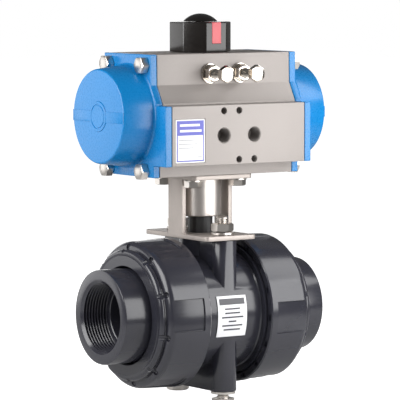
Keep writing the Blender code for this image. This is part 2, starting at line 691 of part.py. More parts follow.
def make_bracket(owner):
    """A base plate on the valve, two legs and a top plate under the actuator."""
    base = rounded_rectangle(BRACKET_BASE_X, BRACKET_BASE_Y, BRACKET_CORNER_R)
    top = rounded_rectangle(BRACKET_TOP_X, BRACKET_TOP_Y, BRACKET_CORNER_R)
    bracket = solid("bracket", prism(base, PLATE_LOW_Z, PLATE_TOP_Z, "Z"), STAINLESS, owner)
    fuse(bracket, prism(top, BRACKET_TOP_Z - SHEET, BRACKET_TOP_Z, "Z"))
    inner_x = BRACKET_BASE_X - SHEET
    for sign in (-1, 1):
        low_x, high_x = sorted((sign * inner_x, sign * BRACKET_BASE_X))
        leg_low = (low_x, -LEG_HALF_Y, PLATE_LOW_Z + SHEET / 2)
        leg_high = (high_x, LEG_HALF_Y, BRACKET_TOP_Z - SHEET / 2)
        fuse(bracket, block(leg_low, leg_high))
    holes = rod(STEM_HOLE_R + GAP, (0, 0, PLATE_LOW_Z - MM), (0, 0, PLATE_TOP_Z + MM), MEDIUM_SIDES)
    rod(SPIGOT_R, (0, 0, BRACKET_TOP_Z - SHEET - MM), (0, 0, BRACKET_TOP_Z + MM), LARGE_SIDES, into=holes)
    for y in (-BODY_BOLT_Y, BODY_BOLT_Y):
        rod(BODY_BOLT_R + GAP, (0, y, PLATE_LOW_Z - MM), (0, y, PLATE_TOP_Z + MM), into=holes)
    for x, y in flange_bolt_places():
        rod(SCREW_R + GAP, (x, y, BRACKET_TOP_Z - SHEET - MM), (x, y, BRACKET_TOP_Z + MM), into=holes)
    carve(bracket, holes)
    for number, (x, y) in enumerate(flange_bolt_places(), 1):
        hex_bolt(
            f"flange_bolt_{number}", STEEL, owner, (x, y, BRACKET_TOP_Z - SHEET - GAP), (0, 0, 1),
            FLANGE_SCREW_HEAD + FLANGE_WASHER_THICK, SCREW_FLATS, SCREW_R, SHEET + FLANGE_SCREW_DEEP,
            (FLANGE_WASHER_R, FLANGE_WASHER_THICK),
        )


def make_coupling(owner):
    """The round coupling: a square socket for the stem below and a square for the pinion above."""
    body = rod(COUPLING_R, (0, 0, COUPLING_LOW_Z), (0, 0, COUPLING_TOP_Z), LARGE_SIDES)
    coupling = solid("drive_coupling", body, STEEL, owner)
    square = COUPLING_SQUARE / 2
    socket = STEM_SQUARE / 2 + GAP
    socket_top = STEM_TOP_Z + STEM_SQUARE_LONG + GAP
    top_z = COUPLING_TOP_Z + COUPLING_SQUARE_LONG
    fuse(coupling, block((-square, -square, COUPLING_TOP_Z - MM), (square, square, top_z)))
    carve(coupling, block((-socket, -socket, COUPLING_LOW_Z - MM), (socket, socket, socket_top)))


def make_actuator_body(owner):
    body = solid("actuator_body", prism(actuator_section(), -HALF_LENGTH, HALF_LENGTH, "X"), ANODISED, owner)
    end = HALF_LENGTH + MM
    cam_r = CAM_R + CAM_ROOM
    cam_top = CAM_LOW_Z + CAM_THICK + GAP
    bore = [(-end, 0), (-end, BORE_R), (end, BORE_R), (end, 0)]
    carve(
        body,
        turned(bore, "X", (0, 0, BORE_Z), ring=False),
        rod(cam_r, (0, 0, BORE_Z), (0, 0, cam_top), MEDIUM_SIDES),
        rod(SHAFT_HIGH_R + BEARING_WALL + 2 * GAP, (0, 0, BORE_Z), (0, 0, TOP_Z + MM), MEDIUM_SIDES),
        rod(SHAFT_LOW_R + BEARING_WALL + 2 * GAP, (0, 0, BOTTOM_Z - MM), (0, 0, BORE_Z), MEDIUM_SIDES),
    )
    holes = bmesh.new()
    for sign in (-1, 1):
        for y in (-CAP_SCREW_Y, CAP_SCREW_Y):
            for z in CAP_SCREW_Z:
                inner = sign * (HALF_LENGTH - CAP_SCREW_DEEP - MM)
                rod(SCREW_R + GAP, (inner, y, z), (sign * end, y, z), into=holes)
    for x, y in flange_bolt_places():
        rod(SCREW_R + GAP, (x, y, BOTTOM_Z - MM), (x, y, BOTTOM_Z + FLANGE_SCREW_DEEP + MM), into=holes)
    face = -PAD_Y - MM
    for x in (-AIR_PORT_X, AIR_PORT_X):
        rod(AIR_PORT_R, (x, face, AIR_PORT_Z), (x, -PAD_Y + AIR_PORT_DEEP, AIR_PORT_Z), MEDIUM_SIDES, into=holes)
    for x, rise in ((-AIR_PORT_X, 1), (0, 1), (0, -1), (AIR_PORT_X, -1)):
        z = AIR_PORT_Z + rise * PAD_SCREW_RISE
        rod(PAD_SCREW_R, (x, face, z), (x, -PAD_Y + PAD_SCREW_DEEP, z), into=holes)
    for x in (-STOP_X, STOP_X):
        rod(STOP_R + GAP, (x, -SLOPE_TOP_Y - MM, STOP_Z), (x, -CAM_EDGE, STOP_Z), into=holes)
    passage = rod(
        AIR_PASSAGE_R, (-AIR_PORT_X, -PAD_Y + AIR_PORT_DEEP - MM, AIR_PORT_Z), (-AIR_PORT_X, 0, AIR_PORT_Z)
    )
    pocket = block(
        (LABEL_X[0] - GAP, face, LABEL_Z[0] - GAP),
        (LABEL_X[1] + GAP, -PAD_Y + LABEL_THICK + 2 * GAP, LABEL_Z[1] + GAP),
    )
    carve(body, holes, passage, pocket)


def make_end_cap(side, sign, owner):
    """An end cap: a plate of the body's outline, a drafted boss over the spring and a rib across its face."""
    section = actuator_section()
    cap = solid(f"{side}_end_cap", prism(section, sign * CAP_X, sign * CAP_OUT_X, "X"), CAP_BLUE, owner)
    boss = [
        (CAP_X + CAP_PLATE / 2, 0),
        (CAP_X + CAP_PLATE / 2, CAP_ROOT_R),
        (CAP_OUT_X, CAP_ROOT_R),
        (CAP_BOSS_X - CAP_EDGE, CAP_FACE_R),
        (CAP_BOSS_X, CAP_FACE_R - CAP_EDGE),
        (CAP_BOSS_X, 0),
    ]
    centre = (0, 0, BORE_Z)
    rib_low_x, rib_high_x = sorted((sign * (CAP_X + CAP_PLATE / 2), sign * CAP_FACE_X))
    rib_low = (rib_low_x, -CAP_RIB_Y, BORE_Z - CAP_RIB_HALF_Z)
    rib_high = (rib_high_x, CAP_RIB_Y, BORE_Z + CAP_RIB_HALF_Z)
    fuse(
        cap,
        turned([(sign * along, radius) for along, radius in boss], "X", centre, ring=False),
        block(rib_low, rib_high),
    )
    cavity_r = CAP_FACE_R - CAP_WALL
    hollow = [
        (CAP_X - MM, 0),
        (CAP_X - MM, BORE_R + GAP),
        (CAP_X + CAP_RECESS, BORE_R + GAP),
        (CAP_X + CAP_RECESS, cavity_r),
        (CAP_FACE_X - CAP_END_WALL, cavity_r),
        (CAP_FACE_X - CAP_END_WALL, 0),
    ]
    holes = bmesh.new()
    for y in (-CAP_SCREW_Y, CAP_SCREW_Y):
        for z in CAP_SCREW_Z:
            rod(SCREW_R + GAP, (sign * (CAP_X - MM), y, z), (sign * (CAP_OUT_X + MM), y, z), into=holes)
    carve(cap, turned([(sign * along, radius) for along, radius in hollow], "X", centre, ring=False), holes)
    for level, z in zip(("low", "high"), CAP_SCREW_Z):
        for end, y in (("front", -CAP_SCREW_Y), ("back", CAP_SCREW_Y)):
            hex_bolt(
                f"{side}_cap_bolt_{end}_{level}", STEEL, owner, (sign * (CAP_OUT_X + GAP), y, z), (-sign, 0, 0),
                CAP_SCREW_HEAD, SCREW_FLATS, SCREW_R, CAP_PLATE + CAP_SCREW_DEEP,
            )


def gear_outline():
    """The pinion's outline, with involute flanks and a tooth on the Y axis."""
    pressure = math.radians(PRESSURE_ANGLE)
    base_r = PITCH_R * math.cos(pressure)
    root_r = PITCH_R - 1.25 * MODULE
    tip_r = PITCH_R + 0.9 * MODULE
    half_tooth = math.pi / 2 / TEETH - BACKLASH / 4 / PITCH_R
    involute_at_pitch = math.tan(pressure) - pressure

    def flank(radius):
        """Half the tooth's angle at a radius."""
        angle = math.acos(min(1.0, base_r / radius))
        return half_tooth + involute_at_pitch - (math.tan(angle) - angle)

    radii = (base_r, PITCH_R, tip_r)
    points = []
    for tooth in range(TEETH):
        middle = math.pi / 2 + math.tau * tooth / TEETH
        rising = [(root_r, -flank(base_r))] + [(radius, -flank(radius)) for radius in radii]
        falling = [(radius, -offset) for radius, offset in reversed(rising)]
        for radius, offset in rising + falling:
            angle = middle + offset
            points.append((radius * math.cos(angle), radius * math.sin(angle)))
    return points


def make_pinion(owner):
    """The pinion shaft: lower journal with a square socket, gear, and upper journal."""
    bearing_low = BOTTOM_Z + GAP
    pinion = solid("pinion", prism(gear_outline(), GEAR_LOW_Z, GEAR_HIGH_Z, "Z"), STEEL, owner)
    socket = COUPLING_SQUARE / 2 + GAP
    socket_top = COUPLING_TOP_Z + COUPLING_SQUARE_LONG + GAP
    fuse(
        pinion,
        rod(SHAFT_LOW_R, (0, 0, bearing_low), (0, 0, GEAR_LOW_Z + MM), MEDIUM_SIDES),
        rod(SHAFT_HIGH_R, (0, 0, GEAR_HIGH_Z - MM), (0, 0, SHAFT_TOP_Z), MEDIUM_SIDES),
    )
    carve(pinion, block((-socket, -socket, bearing_low - MM), (socket, socket, socket_top)))


def make_bearing(name, owner, shaft_r, low, high):
    """A plain bearing sleeve round the shaft."""
    hole = shaft_r + GAP
    flat_ring(
        name, PTFE, owner, (0, 0, low), (0, 0, high), hole + BEARING_WALL, hole, hole_sides=MEDIUM_SIDES
    )


def make_stop_cam(owner):
    """The cam that meets one stop screw when the valve is closed and the other when it is open."""
    high = CAM_LOW_Z + CAM_THICK
    cam = solid("stop_cam", rod(CAM_R, (0, 0, CAM_LOW_Z), (0, 0, high), LARGE_SIDES), STEEL, owner)
    low = CAM_LOW_Z - MM
    carve(
        cam,
        block((-CAM_R - MM, -CAM_R - MM, low), (-CAM_EDGE, CAM_R + MM, high + MM)),
        block((-CAM_R - MM, -CAM_R - MM, low), (CAM_R + MM, -CAM_EDGE, high + MM)),
    )
    fuse(cam, rod(CAM_HUB_R, (0, 0, CAM_LOW_Z), (0, 0, high), MEDIUM_SIDES))
    carve(cam, rod(SHAFT_HIGH_R + GAP, (0, 0, low), (0, 0, high + MM), MEDIUM_SIDES))


def rack_outline(sign):
    """The outline of a piston's arm from above, its gaps in step with the pinion's teeth on that side."""
    odd = RACK_PITCH / 2 if sign > 0 and TEETH % 2 else 0
    slope = math.tan(math.radians(PRESSURE_ANGLE))
    tip = PITCH_R - 0.9 * MODULE
    root = PITCH_R + 1.25 * MODULE
    half_pitch_line = RACK_PITCH / 4 - BACKLASH / 4
    half_tip = half_pitch_line - 0.9 * MODULE * slope
    half_root = half_pitch_line + 1.25 * MODULE * slope
    points = [(PISTON_FACE_X + MM, RACK_BACK_Y), (-RACK_REACH, RACK_BACK_Y), (-RACK_REACH, root)]
    count = int((RACK_REACH - half_root) / RACK_PITCH + 0.5)
    for number in range(-count, count):
        middle = (number + 0.5) * RACK_PITCH + odd
        points += [(middle - half_root, root), (middle - half_tip, tip)]
        points += [(middle + half_tip, tip), (middle + half_root, root)]
    points.append((PISTON_FACE_X + MM, root))
    return [(sign * x, -sign * y) for x, y in points]


def make_piston(side, sign, owner):
    """A piston: a round head in the bore and an arm with the rack, beside the pinion."""
    groove_near = PISTON_FACE_X + PISTON_SEAL_X
    groove_far = groove_near + PISTON_SEAL_WIDE
    groove_r = PISTON_R - PISTON_SEAL_DEEP
    head = [
        (PISTON_FACE_X, 0),
        (PISTON_FACE_X, PISTON_R),
        (groove_near, PISTON_R),
        (groove_near, groove_r),
        (groove_far, groove_r),
        (groove_far, PISTON_R),
        (PISTON_BACK_X, PISTON_R),
        (PISTON_BACK_X, 0),
    ]
    centre = (0, 0, BORE_Z)
    shape = turned([(sign * along, radius) for along, radius in head], "X", centre, ring=False)
    piston = solid(f"{side}_piston", shape, CAST_ALUMINIUM, owner)
    low = GEAR_LOW_Z + RACK_MARGIN_Z
    high = GEAR_HIGH_Z - RACK_MARGIN_Z
    fuse(piston, prism(rack_outline(sign), low, high, "Z"))
    seal = [
        (groove_near + SEAL_GAP, groove_r + SEAL_GAP),
        (groove_near + SEAL_GAP, PISTON_R + SEAL_GAP),
        (groove_far - SEAL_GAP, PISTON_R + SEAL_GAP),
        (groove_far - SEAL_GAP, groove_r + SEAL_GAP),
    ]
    ring = turned([(sign * along, radius) for along, radius in seal], "X", centre)
    solid(f"{side}_piston_seal", ring, SEAL_RUBBER, owner)


def make_spring(side, sign, owner):
    """A closing spring: a helix from the back of the piston to the end wall of the cap."""
    start = PISTON_BACK_X + GAP + SPRING_WIRE_R
    end = CAP_FACE_X - CAP_END_WALL - GAP - SPRING_WIRE_R
    steps = int(SPRING_TURNS * SPRING_STEPS)
    shape = bmesh.new()
    rings = []
    for step in range(steps + 1):
        share = step / steps
        turn = math.tau * SPRING_TURNS * share
        middle = Vector((sign * (start + (end - start) * share), 0, BORE_Z))
        outward = Vector((0, math.cos(turn), math.sin(turn)))
        along = Vector((sign, 0, 0))
        ring = []
        for across, lift in arc(SPRING_WIRE_R, 0, 360 - 360 / SPRING_WIRE_SIDES, SPRING_WIRE_SIDES - 1):
            ring.append(shape.verts.new(middle + outward * (SPRING_R + across) + along * lift))
        rings.append(ring)
    for first, second in zip(rings, rings[1:]):
        for number in range(SPRING_WIRE_SIDES):
            after = (number + 1) % SPRING_WIRE_SIDES
            shape.faces.new((first[number], first[after], second[after], second[number]))
    shape.faces.new(rings[0])
    shape.faces.new(rings[-1])
    bmesh.ops.recalc_face_normals(shape, faces=shape.faces)
    solid(f"{side}_spring", shape, SPRING_STEEL, owner)


def make_stop(side, sign, root, owner):
    """A stop screw with its washer and locknut."""
    x = sign * STOP_X
    tip_y = -CAM_EDGE - GAP
    seat = (x, -STOP_END_Y + STOP_HEAD, STOP_Z)
    length = STOP_END_Y - STOP_HEAD + tip_y
    hex_bolt(f"{side}_stop_screw", PLATED, owner, seat, (0, 1, 0), STOP_HEAD, SCREW_FLATS, STOP_R, length)
    washer_y = -SLOPE_TOP_Y - GAP
    nut_y = washer_y - STOP_WASHER_THICK - GAP
    hole = STOP_R + GAP
    flat_ring(
        f"{side}_stop_washer", PLATED, root,
        (x, washer_y - STOP_WASHER_THICK, STOP_Z), (x, washer_y, STOP_Z), STOP_WASHER_R, hole,
    )
    flat_ring(
        f"{side}_stop_locknut", PLATED, root,
        (x, nut_y - STOP_NUT, STOP_Z), (x, nut_y, STOP_Z), corner_radius(SCREW_FLATS), hole, HEX,
    )


def make_indicator(owner):
    """An octagonal knob with a coloured bar let into its top and sides, under a domed cap."""
    corner = INDICATOR_FLATS / 2 / math.cos(math.radians(22.5))
    low = TOP_Z + GAP
    octagon = arc(corner, 22.5, 337.5, 7)
    knob = solid("indicator_body", prism(octagon, low, INDICATOR_TOP_Z, "Z"), BLACK, owner)
    reach = INDICATOR_FLATS / 2
    inner = reach - INSERT_LEG
    bar_z = INDICATOR_TOP_Z - INSERT_BAR

    def bridge(grow):
        """The bar's outline from the side: two legs joined across the top."""
        out = reach + (MM if grow else INSERT_PROUD)
        top = INDICATOR_TOP_Z + (MM if grow else 0)
        foot = INSERT_FOOT_Z - grow
        half = [(out, top), (out, foot), (inner - grow, foot), (inner - grow, bar_z - grow)]
        return half + [(-across, up) for across, up in reversed(half)]

    half = INSERT_WIDTH / 2
    socket = rod(SHAFT_HIGH_R + GAP, (0, 0, low - MM), (0, 0, SHAFT_TOP_Z + GAP), MEDIUM_SIDES)
    carve(knob, socket, prism(bridge(GAP), -half - GAP, half + GAP, "X"))
    solid("indicator_insert", prism(bridge(0), -half, half, "X"), RED, owner)
    rise = DOME_TOP_Z - INDICATOR_TOP_Z - GAP
    sphere_r = (DOME_R**2 + rise**2) / 2 / rise
    sweep = math.degrees(math.asin(DOME_R / sphere_r))
    centre_z = DOME_TOP_Z - sphere_r
    dome = [(INDICATOR_TOP_Z + GAP, 0)]
    dome += [(centre_z + rise_z, radius) for radius, rise_z in arc(sphere_r, 90 - sweep, 90, 4)]
    solid("indicator_cap", turned(dome, "Z", sides=MEDIUM_SIDES, ring=False), BLACK, owner)


def make_labels(owner):
    """The name label in its pocket on the pad, and the caution label round the front of the barrel."""
    low = (LABEL_X[0], -PAD_Y + GAP, LABEL_Z[0])
    solid("name_label", block(low, (LABEL_X[1], -PAD_Y + GAP + LABEL_THICK, LABEL_Z[1])), LABEL, owner)
    first, last = CAUTION_ANGLES
    inner = BARREL_R + GAP
    outline = arc(inner, 180 - last, 180 - first, 6) + arc(inner + LABEL_THICK, 180 - first, 180 - last, 6)
    solid("caution_label", prism(outline, *CAUTION_X, "X"), LABEL, owner)


for old in list(bpy.data.objects):
    bpy.data.objects.remove(old)

PVC = paint("dark_pvc", (0.06, 0.065, 0.085), 0.3)
PTFE = paint("white_ptfe", (0.85, 0.85, 0.82), 0.5)
SEAL_RUBBER = paint("seal_rubber", (0.02, 0.02, 0.02), 0.6)
STEM_BLACK = paint("black_stem", (0.03, 0.03, 0.03), 0.5)
STAINLESS = paint("stainless_sheet", (0.62, 0.58, 0.55), 0.4, 1.0)
STEEL = paint("steel", (0.6, 0.58, 0.55), 0.3, 1.0)
PLATED = paint("plated_steel", (0.7, 0.66, 0.6), 0.2, 1.0)
SPRING_STEEL = paint("spring_steel", (0.3, 0.3, 0.32), 0.4, 1.0)
ANODISED = paint("anodised_grey", (0.43, 0.4, 0.38), 0.45, 0.6)
CAST_ALUMINIUM = paint("cast_aluminium", (0.6, 0.6, 0.6), 0.5, 1.0)
CAP_BLUE = paint("cap_blue", (0.02, 0.2, 0.62), 0.35)
BLACK = paint("gloss_black", (0.02, 0.018, 0.016), 0.25)
RED = paint("indicator_red", (0.75, 0.06, 0.09), 0.4)
LABEL = paint("label_white", (0.85, 0.85, 0.87), 0.4)

root_body = group("root_body")
shaft_body = group("shaft_body")

make_valve_body(root_body)
make_seat_carrier(root_body)
make_body_fasteners(root_body)
make_bracket(root_body)
make_actuator_body(root_body)
make_labels(root_body)
make_bearing("lower_pinion_bearing", root_body, SHAFT_LOW_R, BOTTOM_Z + GAP, BOTTOM_Z + GAP + LOWER_BEARING_LONG)
make_bearing("upper_pinion_bearing", root_body, SHAFT_HIGH_R, CAM_LOW_Z + CAM_THICK + 2 * GAP, TOP_Z - GAP)

make_ball(shaft_body)
make_stem(shaft_body)
make_coupling(shaft_body)
make_pinion(shaft_body)
make_stop_cam(shaft_body)
make_indicator(shaft_body)

for side_name, side_sign in SIDES.items():
    connector_body = group(f"{side_name}_connector_body")
    nut_body = group(f"{side_name}_nut_body")
    piston_body = group(f"{side_name}_piston_body")
    stop_body = group(f"{side_name}_stop_body")
    make_connector(side_name, side_sign, connector_body)
    make_union_nut(side_name, side_sign, nut_body)
    seal_x = side_sign * (FLANGE_X + GAP + SEAL_WIRE_R)
    make_round_seal(f"{side_name}_face_seal", "X", seal_x, SEAL_R, SEAL_WIRE_R, connector_body, LARGE_SIDES)
    make_seat(side_name, side_sign, root_body)
    make_end_cap(side_name, side_sign, root_body)
    make_piston(side_name, side_sign, piston_body)
    make_spring(side_name, side_sign, piston_body)
    make_stop(side_name, side_sign, root_body, stop_body)
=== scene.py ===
"""The looks of a pneumatic actuated valve: its finished pieces, their finishes, the lights and the camera."""

import math

import bpy
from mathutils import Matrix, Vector


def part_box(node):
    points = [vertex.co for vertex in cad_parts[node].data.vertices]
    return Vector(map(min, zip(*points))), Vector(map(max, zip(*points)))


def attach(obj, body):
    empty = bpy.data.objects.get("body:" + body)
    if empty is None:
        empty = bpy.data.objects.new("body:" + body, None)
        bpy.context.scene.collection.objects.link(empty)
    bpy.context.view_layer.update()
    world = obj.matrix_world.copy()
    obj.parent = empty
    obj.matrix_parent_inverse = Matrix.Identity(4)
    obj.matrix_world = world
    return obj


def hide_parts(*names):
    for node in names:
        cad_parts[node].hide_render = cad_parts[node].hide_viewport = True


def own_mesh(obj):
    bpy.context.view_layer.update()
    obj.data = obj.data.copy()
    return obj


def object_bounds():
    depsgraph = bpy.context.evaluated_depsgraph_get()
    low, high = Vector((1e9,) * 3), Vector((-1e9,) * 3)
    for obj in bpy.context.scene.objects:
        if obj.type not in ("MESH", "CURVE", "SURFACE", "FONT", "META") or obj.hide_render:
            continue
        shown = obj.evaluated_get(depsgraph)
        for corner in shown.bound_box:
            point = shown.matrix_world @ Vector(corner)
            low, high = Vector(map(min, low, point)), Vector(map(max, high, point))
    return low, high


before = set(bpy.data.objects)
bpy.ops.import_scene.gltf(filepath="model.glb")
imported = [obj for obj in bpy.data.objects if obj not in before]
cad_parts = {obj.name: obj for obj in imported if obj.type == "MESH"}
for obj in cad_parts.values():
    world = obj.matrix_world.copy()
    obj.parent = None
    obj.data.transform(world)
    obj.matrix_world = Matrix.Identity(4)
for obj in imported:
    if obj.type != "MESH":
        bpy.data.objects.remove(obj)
cad_low, cad_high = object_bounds()

MM = 0.001
FULL_TURN = math.tau
ROUND = 96
SMALL_ROUND = 40
WELD = 0.002 * MM

# Places read from the frame
BORE_Z = sum(corner.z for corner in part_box("left_piston")) / 2
BODY_LOW, BODY_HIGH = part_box("actuator_body")
CAP_LOW, CAP_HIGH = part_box("right_end_cap")
END_LOW, END_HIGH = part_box("right_end_connector")
NUT_LOW, NUT_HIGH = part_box("right_union_nut")
VALVE_LOW, VALVE_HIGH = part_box("valve_body")
BRACKET_LOW, BRACKET_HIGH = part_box("bracket")
KNOB_LOW, KNOB_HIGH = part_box("indicator_body")
COUPLING_LOW, COUPLING_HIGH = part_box("drive_coupling")

# Section of the actuator's body, in millimetres
PAD_REACH = 45.6
PAD_LOW = 100.0
PAD_HIGH = 139.1
SIDE_REACH = 31.0
SLOPE_FOOT = (34.8, 140.2)
SLOPE_HEAD = (28.2, 152.0)
TOP_REACH = 27.7


# ---------------------------------------------------------------- modelling


def deselect():
    bpy.ops.object.select_all(action="DESELECT")


def pick(*pieces):
    """Selects these pieces alone, the last one active."""
    deselect()
    for piece in pieces:
        piece.select_set(True)
    bpy.context.view_layer.objects.active = pieces[-1]


def tidy_mesh(piece):
    """Merges doubles and turns every face outwards."""
    pick(piece)
    bpy.ops.object.mode_set(mode="EDIT")
    bpy.ops.mesh.select_all(action="SELECT")
    bpy.ops.mesh.remove_doubles(threshold=WELD)
    bpy.ops.mesh.normals_make_consistent(inside=False)
    bpy.ops.object.mode_set(mode="OBJECT")


def apply_place(piece):
    pick(piece)
    bpy.ops.object.transform_apply(location=True, rotation=True, scale=True)


def drawn(name, points, closed):
    """A line drawn by extruding one vertex from point to point. It is left in edit mode, all selected."""
    deselect()
    bpy.ops.mesh.primitive_plane_add(size=MM)
    line = bpy.context.object
    line.name = name
    bpy.ops.object.mode_set(mode="EDIT")
    bpy.ops.mesh.merge(type="CENTER")
    bpy.ops.transform.translate(value=points[0])
    route = list(points[1:]) + ([points[0]] if closed else [])
    last = Vector(points[0])
    for point in route:
        bpy.ops.mesh.extrude_region_move(TRANSFORM_OT_translate={"value": Vector(point) - last})
        last = Vector(point)
    bpy.ops.mesh.select_all(action="SELECT")
    bpy.ops.mesh.remove_doubles(threshold=WELD)
    return line


def turned(name, profile, axis="X", centre=(0, 0, 0), steps=ROUND, closed=True, sign=1):
    """A profile of (along, radius) points, spun about an axis."""
    centre = Vector(centre)
    line = {"X": Vector((1, 0, 0)), "Y": Vector((0, 1, 0)), "Z": Vector((0, 0, 1))}[axis]
    spoke = Vector((1, 0, 0)) if axis == "Z" else Vector((0, 0, 1))
    points = [centre + line * along * sign + spoke * radius for along, radius in profile]
    piece = drawn(name, points, closed)
    bpy.ops.mesh.spin(steps=steps, angle=FULL_TURN, center=centre, axis=line)
    bpy.ops.object.mode_set(mode="OBJECT")
    tidy_mesh(piece)
    return piece


def slab(name, outline, axis, start, end):
    """A flat outline drawn across an axis and extruded along it."""
    place = {
        "X": lambda across, up: Vector((start, across, up)),
        "Y": lambda across, up: Vector((across, start, up)),
        "Z": lambda across, up: Vector((across, up, start)),
    }[axis]
    rise = {"X": Vector((1, 0, 0)), "Y": Vector((0, 1, 0)), "Z": Vector((0, 0, 1))}[axis] * (end - start)
    piece = drawn(name, [place(across, up) for across, up in outline], True)
    bpy.ops.mesh.edge_face_add()
    bpy.ops.mesh.extrude_region_move(TRANSFORM_OT_translate={"value": rise})
    bpy.ops.object.mode_set(mode="OBJECT")
    tidy_mesh(piece)
    return piece


def box(name, low, high):
    """A block between two corners."""
    deselect()
    low = Vector(low)
    high = Vector(high)
    bpy.ops.mesh.primitive_cube_add(size=1, location=(low + high) / 2, scale=high - low)
    piece = bpy.context.object
    piece.name = name
    apply_place(piece)
    return piece


def bar(name, radius, start, end, sides=SMALL_ROUND):
    """A round bar from one point to another."""
    deselect()
    start = Vector(start)
    end = Vector(end)
    along = end - start
    bpy.ops.mesh.primitive_cylinder_add(
        vertices=sides,
        radius=radius,
        depth=along.length,
        location=(start + end) / 2,
        rotation=along.to_track_quat("Z", "Y").to_euler(),
    )
    piece = bpy.context.object
    piece.name = name
    apply_place(piece)
    return piece


def arc(radius, first, last, steps, centre=(0.0, 0.0)):
    """Points along an arc, from one angle to another in degrees."""
    angles = [math.radians(first + (last - first) * step / steps) for step in range(steps + 1)]
    return [(centre[0] + radius * math.cos(a), centre[1] + radius * math.sin(a)) for a in angles]


def round_plate(half_x, half_y, radius, steps=6):
    """The outline of a rectangle with round corners."""
    points = []
    for start, x, y in ((0, 1, 1), (90, -1, 1), (180, -1, -1), (270, 1, -1)):
        points += arc(radius, start, start + 90, steps, (x * (half_x - radius), y * (half_y - radius)))
    return points


def joined(pieces):
    """Several meshes as one object, still separate shells."""
    if len(pieces) > 1:
        pick(*pieces)
        bpy.ops.object.join()
    return pieces[-1]


def boolean(piece, tools, operation):
    """Cuts tools out of a piece, or unites or intersects them with it, and removes them."""
    tool = joined(tools)
    pick(piece)
    modifier = piece.modifiers.new("Shape", "BOOLEAN")
    modifier.operation = operation
    modifier.object = tool
    bpy.ops.object.modifier_apply(modifier=modifier.name)
    bpy.data.objects.remove(tool)


def cut(piece, *tools):
    boolean(piece, list(tools), "DIFFERENCE")


def unite(piece, *tools):
    for tool in tools:
        boolean(piece, [tool], "UNION")


def soften(piece, width, segments=3, angle=30):
    """Rounds the edges that turn by more than an angle."""
    pick(piece)
    modifier = piece.modifiers.new("Edges", "BEVEL")
    modifier.width = width
    modifier.segments = segments
    modifier.limit_method = "ANGLE"
    modifier.angle_limit = math.radians(angle)
    modifier.miter_outer = "MITER_ARC"
    bpy.ops.object.modifier_apply(modifier=modifier.name)


def finished(piece, material, body, *replaced, smooth=35):
    """Gives a piece its finish and shading, and lets it ride on its body in place of CAD nodes."""
    tidy_mesh(piece)
    piece.data.materials.clear()
    piece.data.materials.append(material)
    pick(piece)
    bpy.ops.object.shade_smooth_by_angle(angle=math.radians(smooth))
    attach(piece, body)
    if replaced:
        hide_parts(*replaced)
    return piece


def placed_copy(model, name, turn=(0, 0, 0), move=(0, 0, 0)):
    """A copy of a model with its own mesh, turned in degrees and moved, with its place in its mesh."""
    piece = model.copy()
    piece.data = model.data.copy()
    piece.name = name
    bpy.context.scene.collection.objects.link(piece)
    piece.rotation_euler = [math.radians(value) for value in turn]
    piece.location = move
    apply_place(piece)
    return piece


def thread(start, end, crest, root, pitch):
    """A thread's section from one place to another, as (along, radius) points."""
    step = math.copysign(pitch, end - start)
    count = int(abs(end - start) / pitch)
    points = []
    for number in range(count):
        at = start + step * number
        points += [(at, crest), (at + step * 0.12, crest), (at + step * 0.5, root), (at + step * 0.62, root)]
    points.append((start + step * count, crest))
    return points


# ---------------------------------------------------------------- finishes


def node_group(name, inputs, outputs):
    """An empty shader group with its sockets: (name, type, default) for inputs, (name, type) for outputs."""
    group = bpy.data.node_groups.new(name, "ShaderNodeTree")
    for label, kind, value in inputs:
        socket = group.interface.new_socket(label, in_out="INPUT", socket_type=kind)
        if value is not None:
            socket.default_value = value
    for label, kind in outputs:
        group.interface.new_socket(label, in_out="OUTPUT", socket_type=kind)
    entry = group.nodes.new("NodeGroupInput")
    leave = group.nodes.new("NodeGroupOutput")
    return group, entry, leave


def grain_group():
    """Fine noise for a surface: a mask, and a normal with that noise as bump."""
    group, entry, leave = node_group(
        "surface_grain",
        [
            ("Scale", "NodeSocketFloat", 400.0),
            ("Stretch", "NodeSocketVector", (1.0, 1.0, 1.0)),
            ("Bump", "NodeSocketFloat", 0.1),
            ("Depth", "NodeSocketFloat", 0.00005),
        ],
        [("Mask", "NodeSocketFloat"), ("Normal", "NodeSocketVector")],
    )
    nodes = group.nodes
    links = group.links
    place = nodes.new("ShaderNodeTexCoord")
    stretch = nodes.new("ShaderNodeVectorMath")
    stretch.operation = "MULTIPLY"
    noise = nodes.new("ShaderNodeTexNoise")
    noise.inputs["Detail"].default_value = 5.0
    noise.inputs["Roughness"].default_value = 0.6
    bump = nodes.new("ShaderNodeBump")
    links.new(place.outputs["Object"], stretch.inputs[0])
    links.new(entry.outputs["Stretch"], stretch.inputs[1])
    links.new(stretch.outputs[0], noise.inputs["Vector"])
    links.new(entry.outputs["Scale"], noise.inputs["Scale"])
    links.new(noise.outputs["Fac"], bump.inputs["Height"])
    links.new(entry.outputs["Bump"], bump.inputs["Strength"])
    links.new(entry.outputs["Depth"], bump.inputs["Distance"])
    links.new(noise.outputs["Fac"], leave.inputs["Mask"])
    links.new(bump.outputs["Normal"], leave.inputs["Normal"])
    return group


